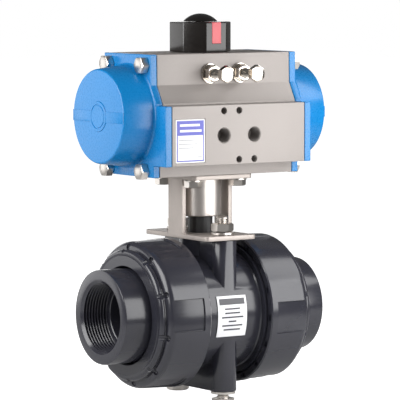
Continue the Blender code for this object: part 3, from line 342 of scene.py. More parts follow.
def wear_group():
    """Edge wear and handling: a base colour that lightens on edges and drifts over the surface."""
    group, entry, leave = node_group(
        "edge_wear",
        [
            ("Colour", "NodeSocketColor", (0.5, 0.5, 0.5, 1.0)),
            ("Edge Colour", "NodeSocketColor", (0.8, 0.8, 0.8, 1.0)),
            ("Wear", "NodeSocketFloat", 0.3),
            ("Drift", "NodeSocketFloat", 0.1),
            ("Drift Scale", "NodeSocketFloat", 40.0),
        ],
        [("Colour", "NodeSocketColor"), ("Worn", "NodeSocketFloat")],
    )
    nodes = group.nodes
    links = group.links
    place = nodes.new("ShaderNodeTexCoord")
    shape = nodes.new("ShaderNodeNewGeometry")
    edge = nodes.new("ShaderNodeMapRange")
    edge.inputs["From Min"].default_value = 0.52
    edge.inputs["From Max"].default_value = 0.62
    scratch = nodes.new("ShaderNodeTexNoise")
    scratch.inputs["Scale"].default_value = 700.0
    scratch.inputs["Detail"].default_value = 4.0
    chips = nodes.new("ShaderNodeMath")
    chips.operation = "MULTIPLY"
    amount = nodes.new("ShaderNodeMath")
    amount.operation = "MULTIPLY"
    amount.use_clamp = True
    drift = nodes.new("ShaderNodeTexNoise")
    drift.inputs["Detail"].default_value = 3.0
    shade = nodes.new("ShaderNodeMapRange")
    dull = nodes.new("ShaderNodeMath")
    dull.operation = "MULTIPLY_ADD"
    dull.inputs[1].default_value = -1.0
    dull.inputs[2].default_value = 1.0
    lift = nodes.new("ShaderNodeMath")
    lift.operation = "ADD"
    lift.inputs[1].default_value = 1.0
    tint = nodes.new("ShaderNodeVectorMath")
    tint.operation = "SCALE"
    mix = nodes.new("ShaderNodeMix")
    mix.data_type = "RGBA"
    links.new(shape.outputs["Pointiness"], edge.inputs["Value"])
    links.new(place.outputs["Object"], scratch.inputs["Vector"])
    links.new(edge.outputs["Result"], chips.inputs[0])
    links.new(scratch.outputs["Fac"], chips.inputs[1])
    links.new(chips.outputs[0], amount.inputs[0])
    links.new(entry.outputs["Wear"], amount.inputs[1])
    links.new(place.outputs["Object"], drift.inputs["Vector"])
    links.new(entry.outputs["Drift Scale"], drift.inputs["Scale"])
    links.new(drift.outputs["Fac"], shade.inputs["Value"])
    links.new(entry.outputs["Drift"], dull.inputs[0])
    links.new(entry.outputs["Drift"], lift.inputs[0])
    links.new(dull.outputs[0], shade.inputs["To Min"])
    links.new(lift.outputs[0], shade.inputs["To Max"])
    links.new(entry.outputs["Colour"], tint.inputs[0])
    links.new(shade.outputs["Result"], tint.inputs["Scale"])
    links.new(amount.outputs[0], mix.inputs["Factor"])
    links.new(tint.outputs[0], mix.inputs["A"])
    links.new(entry.outputs["Edge Colour"], mix.inputs["B"])
    links.new(mix.outputs["Result"], leave.inputs["Colour"])
    links.new(amount.outputs[0], leave.inputs["Worn"])
    return group


GRAIN = grain_group()
WEAR = wear_group()


def finish(
    name, colour, roughness, metallic=0.0, edge=None, wear=0.2, drift=0.06, drift_scale=40.0,
    scale=500.0, stretch=(1, 1, 1), bump=0.1, depth=0.00003, spread=0.08, coat=0.0,
):
    """A Principled material whose colour, roughness and normal come from the two groups."""
    material = bpy.data.materials.new(name)
    material.use_nodes = True
    nodes = material.node_tree.nodes
    links = material.node_tree.links
    shader = nodes["Principled BSDF"]
    grain = nodes.new("ShaderNodeGroup")
    grain.node_tree = GRAIN
    grain.inputs["Scale"].default_value = scale
    grain.inputs["Stretch"].default_value = stretch
    grain.inputs["Bump"].default_value = bump
    grain.inputs["Depth"].default_value = depth
    worn = nodes.new("ShaderNodeGroup")
    worn.node_tree = WEAR
    worn.inputs["Colour"].default_value = (*colour, 1.0)
    worn.inputs["Edge Colour"].default_value = (*(edge or [min(1.0, 1.5 * c + 0.05) for c in colour]), 1.0)
    worn.inputs["Wear"].default_value = wear
    worn.inputs["Drift"].default_value = drift
    worn.inputs["Drift Scale"].default_value = drift_scale
    rough = nodes.new("ShaderNodeMapRange")
    rough.inputs["To Min"].default_value = max(0.02, roughness - spread)
    rough.inputs["To Max"].default_value = roughness + spread
    links.new(grain.outputs["Mask"], rough.inputs["Value"])
    links.new(worn.outputs["Colour"], shader.inputs["Base Color"])
    links.new(rough.outputs["Result"], shader.inputs["Roughness"])
    links.new(grain.outputs["Normal"], shader.inputs["Normal"])
    shader.inputs["Metallic"].default_value = metallic
    shader.inputs["Coat Weight"].default_value = coat
    shader.inputs["Coat Roughness"].default_value = 0.12
    return material


PVC = finish(
    "dark_pvc", (0.0255, 0.0255, 0.0345), 0.22, wear=0.12, drift=0.1, scale=900.0, bump=0.05, coat=0.25,
)
ANODISED = finish(
    "anodised_grey", (0.305, 0.277, 0.261), 0.48, metallic=0.2, wear=0.15, drift=0.05, scale=3000.0,
    stretch=(0.02, 1, 1), bump=0.25, depth=0.00002, spread=0.1,
)
BLUE = finish("cap_blue", (0.001, 0.18, 0.47), 0.28, wear=0.08, drift=0.05, scale=700.0, bump=0.05, coat=0.12)
STAINLESS = finish(
    "stainless_sheet", (0.42, 0.375, 0.345), 0.46, metallic=0.5, drift=0.12, drift_scale=90.0,
    scale=1200.0, bump=0.2,
)
STEEL = finish("satin_steel", (0.66, 0.62, 0.58), 0.3, metallic=1.0, drift=0.15, scale=1500.0, bump=0.12)
TURNED_STEEL = finish(
    "turned_steel", (0.54, 0.5, 0.47), 0.36, metallic=0.9, drift=0.1, scale=2500.0,
    stretch=(1, 1, 0.03), bump=0.2,
)
PLATED = finish("nickel_plate", (0.66, 0.61, 0.55), 0.14, metallic=1.0, drift=0.1, scale=800.0, bump=0.05)
BLACK = finish(
    "gloss_black", (0.009, 0.007, 0.006), 0.2, wear=0.08, scale=900.0, bump=0.03, spread=0.05, coat=0.2,
)
STEM_BLACK = finish("black_stem", (0.02, 0.02, 0.021), 0.45, wear=0.1, scale=800.0, bump=0.1)
RED = finish("indicator_red", (0.6, 0.1, 0.115), 0.38, wear=0.1, scale=900.0, bump=0.06)
RUBBER = finish("seal_rubber", (0.015, 0.015, 0.015), 0.65, wear=0.05, scale=1200.0, bump=0.2)
PTFE = finish("seat_white", (0.83, 0.83, 0.80), 0.45, wear=0.05, scale=600.0, bump=0.08)
CAST = finish("cast_aluminium", (0.6, 0.6, 0.6), 0.45, metallic=1.0, drift=0.12, scale=1500.0, bump=0.4)
SPRING = finish("spring_steel", (0.22, 0.22, 0.24), 0.35, metallic=1.0, drift=0.1, scale=1500.0, bump=0.1)
LABEL_WHITE = finish("label_white", (0.84, 0.84, 0.86), 0.35, wear=0.0, drift=0.03, scale=500.0, bump=0.04)
LABEL_BLUE = finish("label_blue", (0.085, 0.095, 0.46), 0.35, wear=0.0, drift=0.08, scale=500.0, bump=0.04)
LABEL_GREY = finish("label_grey", (0.42, 0.42, 0.44), 0.4, wear=0.0, drift=0.1, scale=500.0, bump=0.04)
LABEL_INK = finish("label_ink", (0.06, 0.06, 0.07), 0.4, wear=0.0, drift=0.1, scale=500.0, bump=0.04)


# ---------------------------------------------------------------- fasteners


THREAD_DEPTH = 0.55  # of a pitch
SMALL_FLATS = 10 * MM
LARGE_FLATS = 13 * MM


def hex_blank(name, flats, low, high, chamfer_low, chamfer_high):
    """A hexagon along Z with its corners turned off at one end or both."""
    corner = flats / 2 / math.cos(math.radians(30))
    blank = bar(name, corner, (0, 0, low), (0, 0, high), 6)
    drop = (corner - flats / 2) * math.tan(math.radians(30)) + 0.15 * MM
    small = flats / 2 - 0.25 * MM
    profile = [(low, 0)]
    profile += [(low, small), (low + drop, corner + 0.05 * MM)] if chamfer_low else [(low, corner + MM)]
    profile += [(high - drop, corner + 0.05 * MM), (high, small)] if chamfer_high else [(high, corner + MM)]
    profile.append((high, 0))
    boolean(blank, [turned("lens", profile, "Z", closed=False, steps=SMALL_ROUND)], "INTERSECT")
    return blank


def thread_root(crest, pitch):
    """The radius at the bottom of an outside thread."""
    return crest - THREAD_DEPTH * pitch


def bolt_model(name, flats, head, crest, length, pitch, washer=None):
    """A hexagon bolt that stands on the XY plane: its head below it and its shank up Z."""
    bolt = hex_blank(name, flats, -head, 0, True, False)
    root = thread_root(crest, pitch)
    profile = [(-head / 2, 0), (-head / 2, crest), (MM, crest)]
    profile += thread(MM, length - MM, crest, root, pitch)
    profile += [(length - MM, crest), (length, root - 0.2 * MM), (length, 0)]
    unite(bolt, turned("shank", profile, "Z", closed=False, steps=SMALL_ROUND))
    if washer:
        wide, thick = washer
        edge = 0.15 * MM
        rim = [(-thick, 0), (-thick, wide - edge), (-thick + edge, wide)]
        rim += [(-edge, wide), (0, wide - edge), (0, 0)]
        unite(bolt, turned("collar", rim, "Z", closed=False, steps=SMALL_ROUND))
    return bolt


def washer_model(name, wide, hole, thick):
    """A washer that lies on the XY plane."""
    edge = 0.15 * MM
    profile = [
        (0, hole), (0, wide - edge), (edge, wide), (thick - edge, wide), (thick, wide - edge), (thick, hole),
    ]
    return turned(name, profile, "Z", steps=SMALL_ROUND)


def nut_model(name, flats, high, hole, pitch):
    """A hexagon nut that stands on the XY plane, with its thread."""
    nut = hex_blank(name, flats, 0, high, True, True)
    profile = [(-MM, 0), (-MM, hole + pitch), (pitch * 0.6, hole)]
    profile += thread(pitch * 0.6, high - pitch * 0.6, hole, hole + 0.4 * pitch, pitch)
    profile += [(high - pitch * 0.6, hole), (high + MM, hole + pitch), (high + MM, 0)]
    cut(nut, turned("nut_bore", profile, "Z", closed=False, steps=SMALL_ROUND))
    return nut


# Turns in degrees that bring the Z axis round to a direction
TURN_TO = {"+Z": (0, 0, 0), "+X": (0, 90, 0), "-X": (0, -90, 0), "+Y": (-90, 0, 0)}


def node_centre(node):
    low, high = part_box(node)
    return (low + high) / 2


def fasten(model, node, direction, seat, material, body="root"):
    """A copy of a fastener in place of a CAD node, turned to a direction and seated at a place along it."""
    centre = node_centre(node)
    axis = "XYZ".index(direction[1])
    place = centre.copy()
    place[axis] = seat
    piece = placed_copy(model, f"{node}_finished", TURN_TO[direction], place)
    finished(piece, material, body, node, smooth=30)


def make_fasteners():
    cap_low, cap_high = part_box("left_cap_bolt_front_low")
    head = 5 * MM
    cap_bolt = bolt_model("cap_bolt", SMALL_FLATS, head, 2.7 * MM, cap_high.x - cap_low.x - head, 1.0 * MM)
    for side, direction in (("left", "+X"), ("right", "-X")):
        for end in ("front", "back"):
            for level in ("low", "high"):
                node = f"{side}_cap_bolt_{end}_{level}"
                low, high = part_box(node)
                seat = low.x + head if side == "left" else high.x - head
                fasten(cap_bolt, node, direction, seat, STEEL)
    low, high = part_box("flange_bolt_1")
    head = 5 * MM
    flange_bolt = bolt_model(
        "flange_bolt", SMALL_FLATS, head, 2.7 * MM, high.z - low.z - head, 1.0 * MM, (6.2 * MM, 1.0 * MM)
    )
    for number in range(1, 5):
        fasten(flange_bolt, f"flange_bolt_{number}", "+Z", low.z + head, STEEL)
    head = 5.3 * MM
    for end in ("front", "back"):
        node = f"{end}_base_bolt"
        low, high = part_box(node)
        base_bolt = bolt_model("base_bolt", LARGE_FLATS, head, 4.0 * MM, high.z - low.z - head, 1.25 * MM)
        fasten(base_bolt, node, "+Z", low.z + head, STEEL)
        bpy.data.objects.remove(base_bolt)
    stop_low, stop_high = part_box("left_stop_screw")
    head = 4 * MM
    stop = bolt_model("stop_screw", SMALL_FLATS, head, 3.0 * MM, stop_high.y - stop_low.y - head, 1.0 * MM)
    lock_low, lock_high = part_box("left_stop_locknut")
    locknut = nut_model("locknut", SMALL_FLATS, lock_high.y - lock_low.y, 3.05 * MM, 1.0 * MM)
    ring_low, ring_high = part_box("left_stop_washer")
    ring = washer_model("stop_ring", 6.6 * MM, 3.3 * MM, ring_high.y - ring_low.y)
    for side in ("left", "right"):
        fasten(stop, f"{side}_stop_screw", "+Y", stop_low.y + head, PLATED, f"{side}_stop")
        fasten(locknut, f"{side}_stop_locknut", "+Y", lock_low.y, PLATED)
        fasten(ring, f"{side}_stop_washer", "+Y", ring_low.y, PLATED)
    stud_low, stud_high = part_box("front_bracket_stud")
    length = stud_high.z - stud_low.z
    end = 0.8 * MM
    crest = 4.0 * MM
    pitch = 1.25 * MM
    root = thread_root(crest, pitch)
    profile = [(0, 0), (0, root), (end, crest)]
    profile += thread(end, length - end, crest, root, pitch)
    profile += [(length - end, crest), (length, root), (length, 0)]
    stud = turned("stud", profile, "Z", closed=False, steps=SMALL_ROUND)
    nut_low, nut_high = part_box("front_stud_nut")
    nut = nut_model("stud_nut", LARGE_FLATS, nut_high.z - nut_low.z, 4.05 * MM, pitch)
    plain_low, plain_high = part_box("front_stud_washer")
    plain = washer_model("plain_washer", 8 * MM, 4.3 * MM, plain_high.z - plain_low.z)
    for end_name in ("front", "back"):
        fasten(stud, f"{end_name}_bracket_stud", "+Z", stud_low.z, STEEL)
        fasten(nut, f"{end_name}_stud_nut", "+Z", nut_low.z, STEEL)
        fasten(plain, f"{end_name}_stud_washer", "+Z", plain_low.z, STEEL)
    fasten(plain, "front_base_washer", "+Z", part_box("front_base_washer")[0].z, STEEL)
    for model in (cap_bolt, flange_bolt, stop, locknut, ring, stud, nut, plain):
        bpy.data.objects.remove(model)


# ---------------------------------------------------------------- valve


PANELS = 5
DENTS = 10
TEETH = 16


def make_connector(side, sign):
    """An end connector with a rounded mouth and its pipe thread."""
    flange_x = END_LOW.x
    end_x = END_HIGH.x
    tube_r = 31.2 * MM
    mouth_r = 22.5 * MM
    passage_r = 19.5 * MM
    flange_r = END_HIGH.z
    flange_end = flange_x + 12.4 * MM
    mouth_floor = end_x - 20 * MM
    pitch = 2.2 * MM
    outside = [(flange_x, passage_r), (flange_x, flange_r - 0.5 * MM), (flange_x + 0.5 * MM, flange_r)]
    outside += [(flange_end - 0.5 * MM, flange_r), (flange_end, flange_r - 0.5 * MM)]
    outside += [(flange_end, tube_r + MM), (flange_end + MM, tube_r), (end_x - 1.2 * MM, tube_r)]
    outside += [(end_x - x, tube_r - r) for x, r in ((0.45 * MM, 0.25 * MM), (0.0, 1.2 * MM))]
    mouth = [(end_x, mouth_r + 2.0 * MM), (end_x - 0.3 * MM, mouth_r + 1.6 * MM)]
    mouth += thread(end_x - 1.6 * MM, mouth_floor, mouth_r, mouth_r + 1.3 * MM, pitch)
    mouth += [(mouth_floor, mouth_r), (mouth_floor, passage_r + 0.5 * MM)]
    mouth += [(mouth_floor - 0.5 * MM, passage_r)]
    piece = turned(f"{side}_connector_finished", outside + mouth, "X", sign=sign)
    finished(piece, PVC, f"{side}_connector", f"{side}_end_connector")


def make_union_nut(side, sign, first_panel):
    """A union nut: a doubly rounded shoulder with dents, recessed grip panels and a toothed inner rim."""
    inner_x = NUT_LOW.x
    outer_x = NUT_HIGH.x
    rim_r = NUT_HIGH.z
    taper = 0.9 * MM
    bore_r = 44.1 * MM
    hole_r = 32.5 * MM
    ledge_x = 50.3 * MM
    face_r = 39.4 * MM
    small = 2.4 * MM
    large = 4.8 * MM
    small_at = (outer_x - 2.8 * MM, face_r + 1.7 * MM)
    large_at = (outer_x - 9.6 * MM, rim_r - taper - large)
    profile = [(inner_x, bore_r + 0.5 * MM), (inner_x + 0.5 * MM, bore_r)]
    profile += [(ledge_x, bore_r), (ledge_x, hole_r), (outer_x - 0.4 * MM, hole_r)]
    profile += [(outer_x, hole_r + 0.4 * MM), (outer_x, face_r)]
    profile += [(outer_x - 0.5 * MM, face_r + 0.4 * MM)] + arc(small, -10, 95, 9, small_at)
    profile += [(outer_x - 4.0 * MM, face_r + 3.4 * MM), (outer_x - 4.6 * MM, face_r + 3.5 * MM)]
    profile += arc(large, -5, 90, 12, large_at)
    profile += [(inner_x + 0.8 * MM, rim_r), (inner_x, rim_r - 0.8 * MM)]
    nut = turned(f"{side}_nut_finished", profile, "X", sign=sign, steps=120)
    depth = 1.2 * MM
    half = 12.5
    panel_step = 360 / PANELS
    tools = []
    along = Vector((sign, 0, 0))
    for number in range(PANELS):
        middle = first_panel + number * panel_step
        floor = arc(rim_r - depth - taper / 2, middle - half, middle + half, 10)
        rim = arc(rim_r + 2 * MM, middle + half, middle - half, 10)
        start, end = sorted((sign * (inner_x + 5 * MM), sign * (outer_x - 1.5 * MM)))
        panel = slab("panel", floor + rim, "X", start, end)
        soften(panel, 0.2 * MM, 2, 40)
        tools.append(panel)
    cut(nut, *tools)
    dent_step = 360 / DENTS
    dents = []
    for number in range(DENTS):
        turn = math.radians(first_panel + dent_step / 2 + number * dent_step)
        out = Vector((0, math.cos(turn), math.sin(turn)))
        front = out * (face_r + 3.6 * MM) + along * (outer_x + MM)
        back = out * (face_r + 6.2 * MM) + along * (outer_x - 6.6 * MM)
        dent = bar("dent", 2.1 * MM, front, back, 32)
        soften(dent, 0.8 * MM, 3, 40)
        dents.append(dent)
    cut(nut, *dents)
    tooth_size = (3 * MM, 2.6 * MM, 4 * MM)
    teeth = []
    for number in range(TEETH):
        turn = math.radians(first_panel + number * 360 / TEETH)
        out = Vector((0, math.cos(turn), math.sin(turn)))
        centre = out * (rim_r - 3.0 * MM) + along * inner_x
        deselect()
        bpy.ops.mesh.primitive_cube_add(size=1, location=centre, rotation=(turn, 0, 0), scale=tooth_size)
        tooth = bpy.context.object
        apply_place(tooth)
        teeth.append(tooth)
    cut(nut, *teeth)
    finished(nut, PVC, f"{side}_nut", f"{side}_union_nut", smooth=40)


def make_valve_body():
    """The barrel between the union nuts, with its slabs above and below."""
    half = VALVE_HIGH.x
    barrel_half = 22.3 * MM
    barrel_r = 39.0 * MM
    thread_r = 43.5 * MM
    outside = [(-half, 0), (-half, thread_r - MM), (-half + MM, thread_r)]
    outside += thread(-half + MM, -barrel_half - 0.5 * MM, thread_r, thread_r - 1.2 * MM, 3.0 * MM)
    outside += [(-barrel_half, thread_r), (-barrel_half, barrel_r + 0.8 * MM)]
    outside += [(-barrel_half + 0.8 * MM, barrel_r)]
    outside += [(-along, radius) for along, radius in reversed(outside)]
    body = turned("valve_body_finished", outside, "X", closed=False, steps=128)
    reach = 36.0 * MM
    wide = 8.5 * MM
    outline = arc(wide, 0, 180, 20, (0, reach - wide)) + arc(wide, 180, 360, 20, (0, wide - reach))
    top = slab("top_slab", outline, "Z", 0, VALVE_HIGH.z)
    base = slab("base_slab", outline, "Z", VALVE_LOW.z, 0)
    soften(top, 0.4 * MM, 2, 60)
    soften(base, 0.4 * MM, 2, 60)
    boss = bar("stem_boss", 14 * MM, (0, 0, 0), (0, 0, VALVE_HIGH.z), 64)
    unite(body, top, base, boss)
    chamber_r = 29.3 * MM
    pocket_x = 26.6 * MM
    pocket_r = 26.3 * MM
    passage_r = 19.5 * MM
    step_x = 18.3 * MM
    inside = [(-half - MM, 0), (-half - MM, passage_r), (-pocket_x, passage_r), (-pocket_x, pocket_r)]
    inside += [(-step_x, pocket_r), (-step_x, chamber_r), (half + MM, chamber_r), (half + MM, 0)]
    cut(body, turned("chamber", inside, "X", closed=False))
    cut(body, bar("collar_seat", 10.3 * MM, (0, 0, 0), (0, 0, 32.9 * MM), 64))
    cut(body, bar("stem_hole", 8.5 * MM, (0, 0, 0), (0, 0, VALVE_HIGH.z + MM), 64))
    finished(body, PVC, "root", "valve_body", smooth=38)


def make_ball():
    """The ball, its bore across the pipe, and the slot that the stem turns it by."""
    radius = 28.5 * MM
    bore = 19.0 * MM
    reach = math.degrees(math.asin(bore / radius))
    profile = [(along, across) for across, along in arc(radius, reach - 90, 90 - reach, 40)]
    ball = turned("ball_finished", profile, "Y", steps=120)
    slot = 4.3 * MM
    cut(ball, box("drive_slot", (-radius, -slot, 23 * MM), (radius, slot, radius + MM)))
    finished(ball, PVC, "shaft", "ball")


# ---------------------------------------------------------------- bracket and coupling


def make_bracket():
    """The bracket: two plates and two legs of one thickness, with rolled edges and bent corners."""
    sheet = 3.0 * MM
    top_z = BRACKET_HIGH.z
    low_z = BRACKET_LOW.z
    edge = 0.35 * MM
    leg_half_y = 8.4 * MM
    leg_x = 20.0 * MM
    bracket = slab("bracket_finished", round_plate(leg_x, BRACKET_HIGH.y, 3 * MM), "Z", low_z, low_z + sheet)
    plate = slab("top_plate", round_plate(BRACKET_HIGH.x, 27.5 * MM, 3 * MM), "Z", top_z - sheet, top_z)
    soften(bracket, edge)
    soften(plate, edge)
    legs = []
    for sign in (-1, 1):
        inner = leg_x - sheet
        bend = 1.6 * MM
        low = low_z + sheet
        high = top_z - sheet
        outline = [(leg_x, low_z + edge), (leg_x, top_z - sheet / 2)]
        outline += [(inner - bend, top_z - sheet / 2), (inner - bend, high)]
        outline += [(inner - bend + x, high - bend + z) for x, z in arc(bend, 90, 0, 6)][1:]
        outline += [(inner - bend + x, low + bend + z) for x, z in arc(bend, 0, -90, 6)]
        outline += [(inner - bend, low_z + sheet / 2), (inner - bend, low_z + edge)]
        shape = [(sign * across, up) for across, up in outline]
        leg = slab("leg", shape, "Y", -leg_half_y, leg_half_y)
        soften(leg, edge, 2, 60)
        legs.append(leg)
    unite(bracket, plate, *legs)
    tools = [bar("stem_hole", 8.8 * MM, (0, 0, low_z - MM), (0, 0, low_z + sheet + MM), 64)]
    tools.append(bar("spigot_hole", 17.5 * MM, (0, 0, top_z - sheet - MM), (0, 0, top_z + MM), 96))
    stud_y = 26 * MM
    for y in (-stud_y, stud_y):
        tools.append(bar("stud_hole", 4.3 * MM, (0, y, low_z - MM), (0, y, low_z + sheet + MM)))
    flange_circle_r = 25 * MM
    reach = flange_circle_r * math.cos(math.radians(45))
    for x in (-reach, reach):
        for y in (-reach, reach):
            tools.append(bar("flange_hole", 3.0 * MM, (x, y, top_z - sheet - MM), (x, y, top_z + MM)))
    cut(bracket, *tools)
    finished(bracket, STAINLESS, "root", "bracket", smooth=30)


def make_coupling():
    """The turned coupling with a square at its top and a square socket below."""
    low = COUPLING_LOW.z
    top = 88.5 * MM
    radius = COUPLING_HIGH.x
    profile = [(low, 0), (low, radius - 0.6 * MM), (low + 0.6 * MM, radius), (top - 0.6 * MM, radius)]
    profile += [(top, radius - 0.6 * MM), (top, 0)]
    coupling = turned("coupling_finished", profile, "Z", closed=False)
    half = 6.7 * MM
    square = box("square", (-half, -half, top - MM), (half, half, COUPLING_HIGH.z))
    soften(square, 0.5 * MM, 2)
    unite(coupling, square)
    socket = 5.8 * MM
    cut(coupling, box("socket", (-socket, -socket, low - MM), (socket, socket, low + 11.5 * MM)))
    finished(coupling, TURNED_STEEL, "shaft", "drive_coupling", smooth=30)


# ---------------------------------------------------------------- actuator


def body_outline():
    """The section of the extrusion as YZ points."""
    half = [
        (SIDE_REACH, BODY_LOW.z / MM), (SIDE_REACH, PAD_LOW), (PAD_REACH, PAD_LOW), (PAD_REACH, PAD_HIGH),
        (SLOPE_FOOT[0], PAD_HIGH), SLOPE_FOOT, SLOPE_HEAD, (TOP_REACH, BODY_HIGH.z / MM),
    ]
    half = [(across * MM, up * MM) for across, up in half]
    return half + [(-across, up) for across, up in reversed(half)]


def make_actuator_body():
    """The anodised extrusion with its ports, screw holes and label pocket."""
    half = BODY_HIGH.x
    body = slab("actuator_body_finished", body_outline(), "X", -half, half)
    soften(body, 0.45 * MM, 3, 20)
    end = half + MM
    cut(body, bar("bore", 31.5 * MM, (-end, 0, BORE_Z), (end, 0, BORE_Z), 128))
    cut(body, bar("cam_room", 18.5 * MM, (0, 0, BORE_Z), (0, 0, 162.8 * MM), 64))
    cut(body, bar("shaft_hole", 10 * MM, (0, 0, BORE_Z), (0, 0, BODY_HIGH.z + MM), 64))
    cut(body, bar("lower_hole", 15 * MM, (0, 0, BODY_LOW.z - MM), (0, 0, BORE_Z), 64))
    face = PAD_REACH * MM
    port_z = 119.2 * MM
    stop_z = 159 * MM
    apart = 12
    rise = 16
    port_r = 4.7 * MM
    screw_r = 2.15 * MM
    tools = []
    for x in (-apart * MM, apart * MM):
        profile = [(-MM, 0), (-MM, 6.4 * MM), (0.6 * MM, port_r)]
        profile += thread(0.6 * MM, 10.5 * MM, port_r, 5.2 * MM, 0.91 * MM)
        profile += [(11 * MM, port_r), (11 * MM, 0)]
        tools.append(turned("port", profile, "Y", (x, -face, port_z), closed=False, steps=64))
    for x, up in ((-apart, rise), (0, rise), (0, -rise), (apart, -rise)):
        profile = [(-MM, 0), (-MM, 3.4 * MM), (0.3 * MM, screw_r)]
        profile += thread(0.5 * MM, 8.5 * MM, screw_r, 2.5 * MM, 0.8 * MM)
        profile += [(9 * MM, screw_r), (9 * MM, 0)]
        place = (x * MM, -face, port_z + up * MM)
        tools.append(turned("screw_hole", profile, "Y", place, closed=False, steps=32))
    for x in (-apart * MM, apart * MM):
        tools.append(bar("stop_hole", 3.3 * MM, (x, -30 * MM, stop_z), (x, -6 * MM, stop_z)))
    cut(body, *tools)
    label_low, label_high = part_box("name_label")
    room = 0.3 * MM
    low = (label_low.x - room, -face - MM, label_low.z - room)
    cut(body, box("label_pocket", low, (label_high.x + room, label_high.y + room, label_high.z + room)))
    finished(body, ANODISED, "root", "actuator_body", smooth=25)


def make_end_cap(side, sign):
    """An end cap: a plate with the body's outline, a drafted boss, a flat rib on its face and a disc."""
    start = CAP_LOW.x
    plate_x = start + 4.9 * MM
    face_x = CAP_HIGH.x
    root_r = 33.3 * MM
    face_r = 30.9 * MM
    fillet = 2.0 * MM
    low, high = sorted((sign * start, sign * plate_x))
    cap = slab(f"{side}_end_cap_finished", body_outline(), "X", low, high)
    soften(cap, 0.8 * MM, 4, 20)
    centre = (0, 0, BORE_Z)
    recess = 0.5 * MM
    draft = (root_r - face_r) / (face_x - plate_x)
    profile = [(start + 2 * MM, 0), (start + 2 * MM, root_r + fillet * 0.6)]
    for lean in (68, 45, 22, 0):
        turn = math.radians(lean)
        along = plate_x + fillet - fillet * math.sin(turn)
        profile.append((along, root_r + fillet - fillet * math.cos(turn)))
    rounding = 1.2 * MM
    profile += [(face_x - rounding - recess, face_r + draft * rounding)]
    profile += [
        (face_x - recess - rounding + x, face_r - rounding + r) for x, r in arc(rounding, 75, 0, 5)
    ]
    profile += [(face_x - recess, 0)]
    boss = turned("boss", profile, "X", centre, closed=False, sign=sign, steps=128)
    rib_low, rib_high = sorted((sign * (face_x - 2 * MM), sign * (face_x - 0.15 * MM)))
    rib_y = face_r - 0.6 * MM
    rib = box("rib", (rib_low, -rib_y, BORE_Z - 3.6 * MM), (rib_high, rib_y, BORE_Z + 3.6 * MM))
    soften(rib, 0.12 * MM, 2)
    groove = 0.4 * MM
    disc = [(face_x - 2 * MM, 0), (face_x - 2 * MM, 10 * MM), (face_x - 0.3 * MM, 10 * MM)]
    disc += [(face_x, 9.7 * MM), (face_x, 8.2 * MM), (face_x - groove, 8.0 * MM)]
    disc += [(face_x - groove, 7.4 * MM), (face_x, 7.2 * MM), (face_x, 0)]
    unite(cap, boss, rib, turned("centre_disc", disc, "X", centre, closed=False, sign=sign))
    piston_room_r = 31.8 * MM
    spring_room_r = 26.3 * MM
    wall = 3.6 * MM
    cavity = [(start - MM, 0), (start - MM, piston_room_r), (start + 1.5 * MM, piston_room_r)]
    cavity += [(start + 1.5 * MM, spring_room_r), (face_x - wall, spring_room_r), (face_x - wall, 0)]
    cut(cap, turned("cavity", cavity, "X", centre, closed=False, sign=sign))
    finished(cap, BLUE, "root", f"{side}_end_cap", smooth=30)


def make_spring(side, sign):
    """A closing spring: a helix over the length of its CAD part, inside its cap."""
    low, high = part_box(f"{side}_spring")
    wire = 1.9 * MM
    radius = 20 * MM
    start = min(abs(low.x), abs(high.x)) + wire
    end = max(abs(low.x), abs(high.x)) - wire
    turns = 4.5
    spoke = Vector((sign * start, radius, BORE_Z))
    deselect()
    bpy.ops.mesh.primitive_circle_add(vertices=12, radius=wire, location=spoke)
    spring = bpy.context.object
    spring.name = f"{side}_spring_finished"
    apply_place(spring)
    pick(spring)
    coil = spring.modifiers.new("Coil", "SCREW")
    coil.axis = "X"
    coil.angle = FULL_TURN * turns
    coil.screw_offset = sign * (end - start)
    coil.steps = int(48 * turns)
    coil.render_steps = int(48 * turns)
    coil.use_merge_vertices = False
    guide = bpy.data.objects.new("spring_axis", None)
    guide.location = (0, 0, BORE_Z)
    bpy.context.scene.collection.objects.link(guide)
    coil.object = guide
    bpy.ops.object.modifier_apply(modifier=coil.name)
    bpy.data.objects.remove(guide)
    bpy.ops.object.mode_set(mode="EDIT")
    bpy.ops.mesh.select_all(action="DESELECT")
    bpy.ops.mesh.select_non_manifold()
    bpy.ops.mesh.fill_holes(sides=0)
    bpy.ops.object.mode_set(mode="OBJECT")
    finished(spring, SPRING, "root", f"{side}_spring", smooth=60)
    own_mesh(spring)


